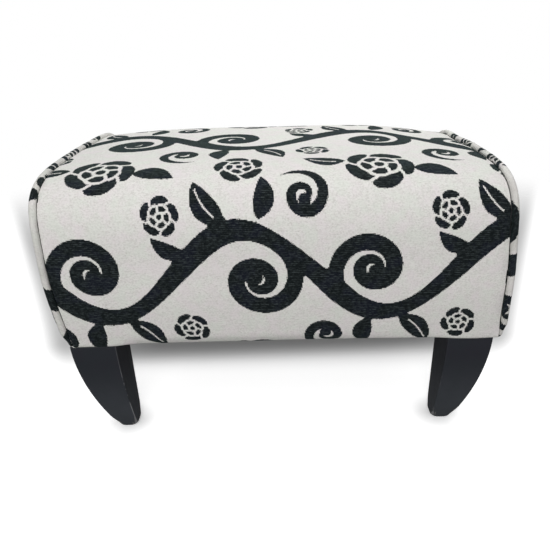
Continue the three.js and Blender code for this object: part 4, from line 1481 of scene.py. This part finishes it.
class FOOTSTOOL_OT_underside(bpy.types.Operator):
    """Makes the dust cloth, hanging a little between its edges, and the staples that hold it"""

    bl_idname = "footstool.underside"
    bl_label = "Dust cloth and staples"

    def execute(self, context):
        look = settings().underside
        half_x, half_y, level = CLOTH_HIGH[0], CLOTH_HIGH[1], CLOTH_LOW[2]
        x, y = (np.linspace(-half, half, count) for half, count in zip((half_x, half_y), CLOTH_GRID))
        free_x, free_y = INNER_LEG - look.leg_gap
        across, along = (np.clip(1 - np.abs(at) ** 3, 0, 1) for at in (x / free_x, y / free_y))
        hang = across[:, None] * along
        hang = look.sag * hang + rumpled(*CLOTH_GRID, 31, (12, 9), 5) * look.ripple * np.sqrt(hang)
        lower = np.stack(np.broadcast_arrays(x[:, None], y[None], level - hang), axis=-1)
        upper = lower + (0, 0, CLOTH_HIGH[2] - level)
        points, faces = sheet_between(lower, upper)
        cloth = new_piece("underside_cloth", points, faces, dust_cloth_black(), "dust_cloth")
        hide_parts("dust_cloth")
        rests = ["front_rail", "back_rail"]
        lines = half_x - look.staple_inset, half_y - look.staple_inset
        self.staples(look, level, lines, (free_x, free_y))
        return {"FINISHED"}

    def staples(self, look, level, lines, free):
        """A wire bent over at both ends, carried to every place along the cloth's edges."""
        wire = look.staple_wire
        bend = np.array(STAPLE_BEND) * (look.staple_crown / 2, wire)
        path = np.concatenate([bend, bend[::-1] * (-1, 1)])
        section = np.array([[-1, -1], [1, -1], [1, 1], [-1, 1]]) * (wire / 2, wire / 4)
        rings = np.zeros((len(path), 4, 3))
        rings[..., ::2] = path[:, None] - leftwards(path)[:, None] * section[None, :, 1:]
        rings[..., 1] = section[None, :, 0]
        points, faces, _ = lofted(rings)
        along_x, along_y = (centred(reach, look.staple_pitch) for reach in free)
        spots = [(a, side * lines[1], 0) for side in (-1, 1) for a in along_x]
        spots += [(side * lines[0], a, 1) for side in (-1, 1) for a in along_y]
        spots = np.array(spots)
        skew = np.random.default_rng(5).uniform(-look.staple_skew, look.staple_skew, len(spots))
        skew += spots[:, 2] * math.pi / 2
        c, s = np.cos(skew)[:, None], np.sin(skew)[:, None]
        placed_x = points[:, 0] * c - points[:, 1] * s + spots[:, :1]
        placed_y = points[:, 0] * s + points[:, 1] * c + spots[:, 1:2]
        placed_z = np.broadcast_to(points[:, 2] + level, placed_x.shape)
        whole = np.stack([placed_x, placed_y, placed_z], axis=-1).reshape(-1, 3)
        step = (np.arange(len(spots)) * len(points))[:, None, None]
        blocks = [(block[None] + step).reshape(-1, block.shape[1]) for block in faces]
        new_piece("staples", whole, blocks, zinc_steel(), "zinc_steel", sharp=math.radians(30))


class FOOTSTOOL_OT_frame_finishes(bpy.types.Operator):
    """Gives the frame's own parts their finishes: pine, plywood and zinc steel"""

    bl_idname = "footstool.frame_finishes"
    bl_label = "Frame finishes"

    def execute(self, context):
        for name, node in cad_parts.items():
            chosen = None
            if any(word in name for word in ("screw", "bolt", "nut")):
                chosen = zinc_steel()
            elif name == "seat_board":
                chosen = plywood()
            elif "block" in name:
                chosen = pine("slant")
            elif "rail" in name or "brace" in name:
                low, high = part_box(name)
                chosen = pine("x" if high[0] - low[0] > high[1] - low[1] else "y")
            if chosen:
                for place in node.material_slots:
                    place.material = chosen
        return {"FINISHED"}


FLOOR_POINTS, FLOOR_REACH = 96, 2.4
# Where the floor fades out and where its shadows begin and end, in metres. The shadow behind widens
# by a share of the distance to the back.
FLOOR_FADE = 0.75, 1.35
UNDER_FRONT, UNDER_BACK, UNDER_SIDE = (0.004, 0.074), (0.13, 0.22), (0.235, 0.31)
BEHIND_FRONT, BEHIND_SIDE, BEHIND_SPREAD = (-0.02, 0.08), (0.318, 0.374), 0.482
ROUND_FOOT = 0.008, 0.042


class FOOTSTOOL_OT_stage(bpy.types.Operator):
    """Sets up the floor, the lamps, the even light and the camera"""

    bl_idname = "footstool.stage"
    bl_label = "Studio"

    def execute(self, context):
        look = settings().stage
        scene = context.scene
        scene.view_settings.view_transform = "Standard"

        lens = bpy.data.cameras.new("camera")
        lens.sensor_width = 36
        lens.lens = look.lens
        lens.shift_x = look.shift
        lens.clip_start = 0.01
        camera = bpy.data.objects.new("camera", lens)
        turn = Matrix.Rotation(-look.yaw, 4, "Z") @ Matrix.Rotation(math.pi / 2 - look.pitch, 4, "X")
        turn = turn @ Matrix.Rotation(look.roll, 4, "Z")
        camera.matrix_world = Matrix.Translation(look.place) @ turn
        scene.collection.objects.link(camera)
        scene.camera = camera

        self.floor(scene)
        self.sky(scene, look)
        self.lamp(scene, "key", look.key_place, look.key_side, look.key, look.aim)
        self.lamp(scene, "fill", look.fill_place, look.fill_side, look.fill, look.aim)
        return {"FINISHED"}

    def floor(self, scene):
        """A round floor that fades out, so that only the stool's shadow shows on white."""
        turn = np.linspace(0, TURN, FLOOR_POINTS, endpoint=False)
        ring = np.stack([np.cos(turn), np.sin(turn), np.zeros(FLOOR_POINTS)], axis=1) * FLOOR_REACH
        mesh = bpy.data.meshes.new("floor")
        mesh.from_pydata(ring.tolist(), [], [list(range(FLOOR_POINTS))])
        floor = bpy.data.objects.new("floor", mesh)
        scene.collection.objects.link(floor)
        mesh.materials.append(white_floor())
        floor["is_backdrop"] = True

    def sky(self, scene, look):
        """Light from all round, dimmer from the sides; the camera, gloss and glass see it as white.

        Its strength is scaled by 1 less the square of x, the sideways part of its direction, and less x
        times the slant.
        """
        world = bpy.data.worlds.new("studio")
        paint = Finish(world)
        rays = ("Is Camera Ray", "Is Glossy Ray", "Is Transmission Ray")
        camera, gloss, glass = (paint.signal(paint.add("LightPath", ray)) for ray in rays)
        x, _, _ = paint.axes(paint.add("TexCoord", "Generated"))
        dimmed = (1 - x * x - x * look.sky_slant) * look.sky
        level = {"Value": camera.most(gloss).most(glass), "To Min": dimmed}
        paint.set(Color=(1, 1, 1), Strength=paint.add("MapRange", "Result", level))
        scene.world = world

    def lamp(self, scene, name, place, side, power, aim):
        """A soft square lamp that faces the stool."""
        light = bpy.data.lights.new(name, "AREA")
        light.size = side
        light.energy = power
        lamp = bpy.data.objects.new(name, light)
        facing = (Vector(aim) - Vector(place)).to_track_quat("-Z", "Y")
        lamp.matrix_world = Matrix.Translation(place) @ facing.to_matrix().to_4x4()
        scene.collection.objects.link(lamp)


@finish
def white_floor(paint):
    """Matt grey to the stool, nearly white and glowing to the camera, and nothing further out.

    The glow fades where the stool keeps the light off: under its back half, round its feet, and in a
    wide soft shadow behind it, which also dims the white. From below, the floor isn't seen.
    """
    x, y, _ = paint.axes(paint.add("TexCoord", "Object"))
    fade = (x * x + y * y).sqrt().share(*FLOOR_FADE)
    fade = fade.most(paint.signal(paint.add("NewGeometry", "Backfacing")))
    tone = paint.noise(paint.at(), 2.0)
    grey = paint.mixed(tone, (0.28,) * 3, (0.3,) * 3)
    seen = paint.signal(paint.add("LightPath", "Is Camera Ray"))
    past = abs(x + y * 0.02) - y * BEHIND_SPREAD
    behind = (1 - past.share(*BEHIND_SIDE)) * y.share(*BEHIND_FRONT)
    white = paint.mixed(behind, (0.9,) * 3, (0.56,) * 3)
    paint.set(Base_Color=paint.mixed(seen, grey, white), Roughness=1.0, Specular_IOR_Level=0)
    under = (y - x * 0.03).share(*UNDER_FRONT) * (1 - y.share(*UNDER_BACK)) * (1 - abs(x).share(*UNDER_SIDE))
    step_x, step_y = (abs(axis) - middle for axis, middle in zip((x, y), FOOT))
    near_foot = 1 - (step_x * step_x + step_y * step_y).sqrt().share(*ROUND_FOOT)
    open_air = (1 - under * 0.93) * (1 - near_foot * 0.55) * (1 - behind * 0.9)
    glow = paint.add("Emission", inputs={"Color": (1, 1, 1), "Strength": seen * open_air * 0.68})
    lit = paint.add("AddShader", inputs={0: paint.shader.outputs[0], 1: glow})
    faded = paint.add("MixShader", inputs={0: fade, 1: lit, 2: paint.add("BsdfTransparent")})
    paint.feed(paint.tree.nodes["Material Output"].inputs["Surface"], faded)


GROUPS = {
    "cover": FOOTSTOOL_PG_cover,
    "fabric": FOOTSTOOL_PG_fabric,
    "piping": FOOTSTOOL_PG_piping,
    "leg": FOOTSTOOL_PG_leg,
    "underside": FOOTSTOOL_PG_underside,
    "stage": FOOTSTOOL_PG_stage,
}


class FOOTSTOOL_PG_settings(bpy.types.PropertyGroup):
    """Everything that can be set, by part."""

    cover: PointerProperty(type=FOOTSTOOL_PG_cover, name="Cover", description="Sizes of the cover")
    fabric: PointerProperty(type=FOOTSTOOL_PG_fabric, name="Fabric", description="The woven fabric")
    piping: PointerProperty(type=FOOTSTOOL_PG_piping, name="Piping", description="The piped seams")
    leg: PointerProperty(type=FOOTSTOOL_PG_leg, name="Legs", description="Sizes and paint of the legs")
    underside: PointerProperty(type=FOOTSTOOL_PG_underside, name="Underside", description="Cloth and staples")
    stage: PointerProperty(type=FOOTSTOOL_PG_stage, name="Studio", description="Camera and light")


class FOOTSTOOL_PT_sidebar(bpy.types.Panel):
    """The stool's settings and the steps that build it"""

    bl_idname = "FOOTSTOOL_PT_sidebar"
    bl_label = "Footstool"
    bl_space_type = "VIEW_3D"
    bl_region_type = "UI"
    bl_category = "Footstool"

    def draw(self, context):
        stool = context.scene.footstool
        for name, group in GROUPS.items():
            box = self.layout.box()
            box.label(text=name.capitalize())
            for setting in group.__annotations__:
                box.prop(getattr(stool, name), setting)
        for step in STEPS:
            self.layout.operator(step.bl_idname)


STEPS = (
    FOOTSTOOL_OT_stage,
    FOOTSTOOL_OT_stuffing,
    FOOTSTOOL_OT_cover,
    FOOTSTOOL_OT_ends,
    FOOTSTOOL_OT_piping,
    FOOTSTOOL_OT_legs,
    FOOTSTOOL_OT_underside,
    FOOTSTOOL_OT_frame_finishes,
)
CLASSES = (*GROUPS.values(), FOOTSTOOL_PG_settings, *STEPS, FOOTSTOOL_PT_sidebar)


def register():
    for each in CLASSES:
        bpy.utils.register_class(each)
    bpy.types.Scene.footstool = PointerProperty(type=FOOTSTOOL_PG_settings)


def unregister():
    del bpy.types.Scene.footstool
    for each in reversed(CLASSES):
        bpy.utils.unregister_class(each)


def main():
    """Builds the whole stool, and works out its box beside the frame's, which it doesn't keep."""
    register()
    for step in STEPS:
        group, name = step.bl_idname.split(".")
        getattr(getattr(bpy.ops, group), name)()
    boxes = {"cad": CAD_BOX, "visual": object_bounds()}
    plain = {name: [list(map(float, corner)) for corner in box] for name, box in boxes.items()}


if __name__ == "__main__":
    main()
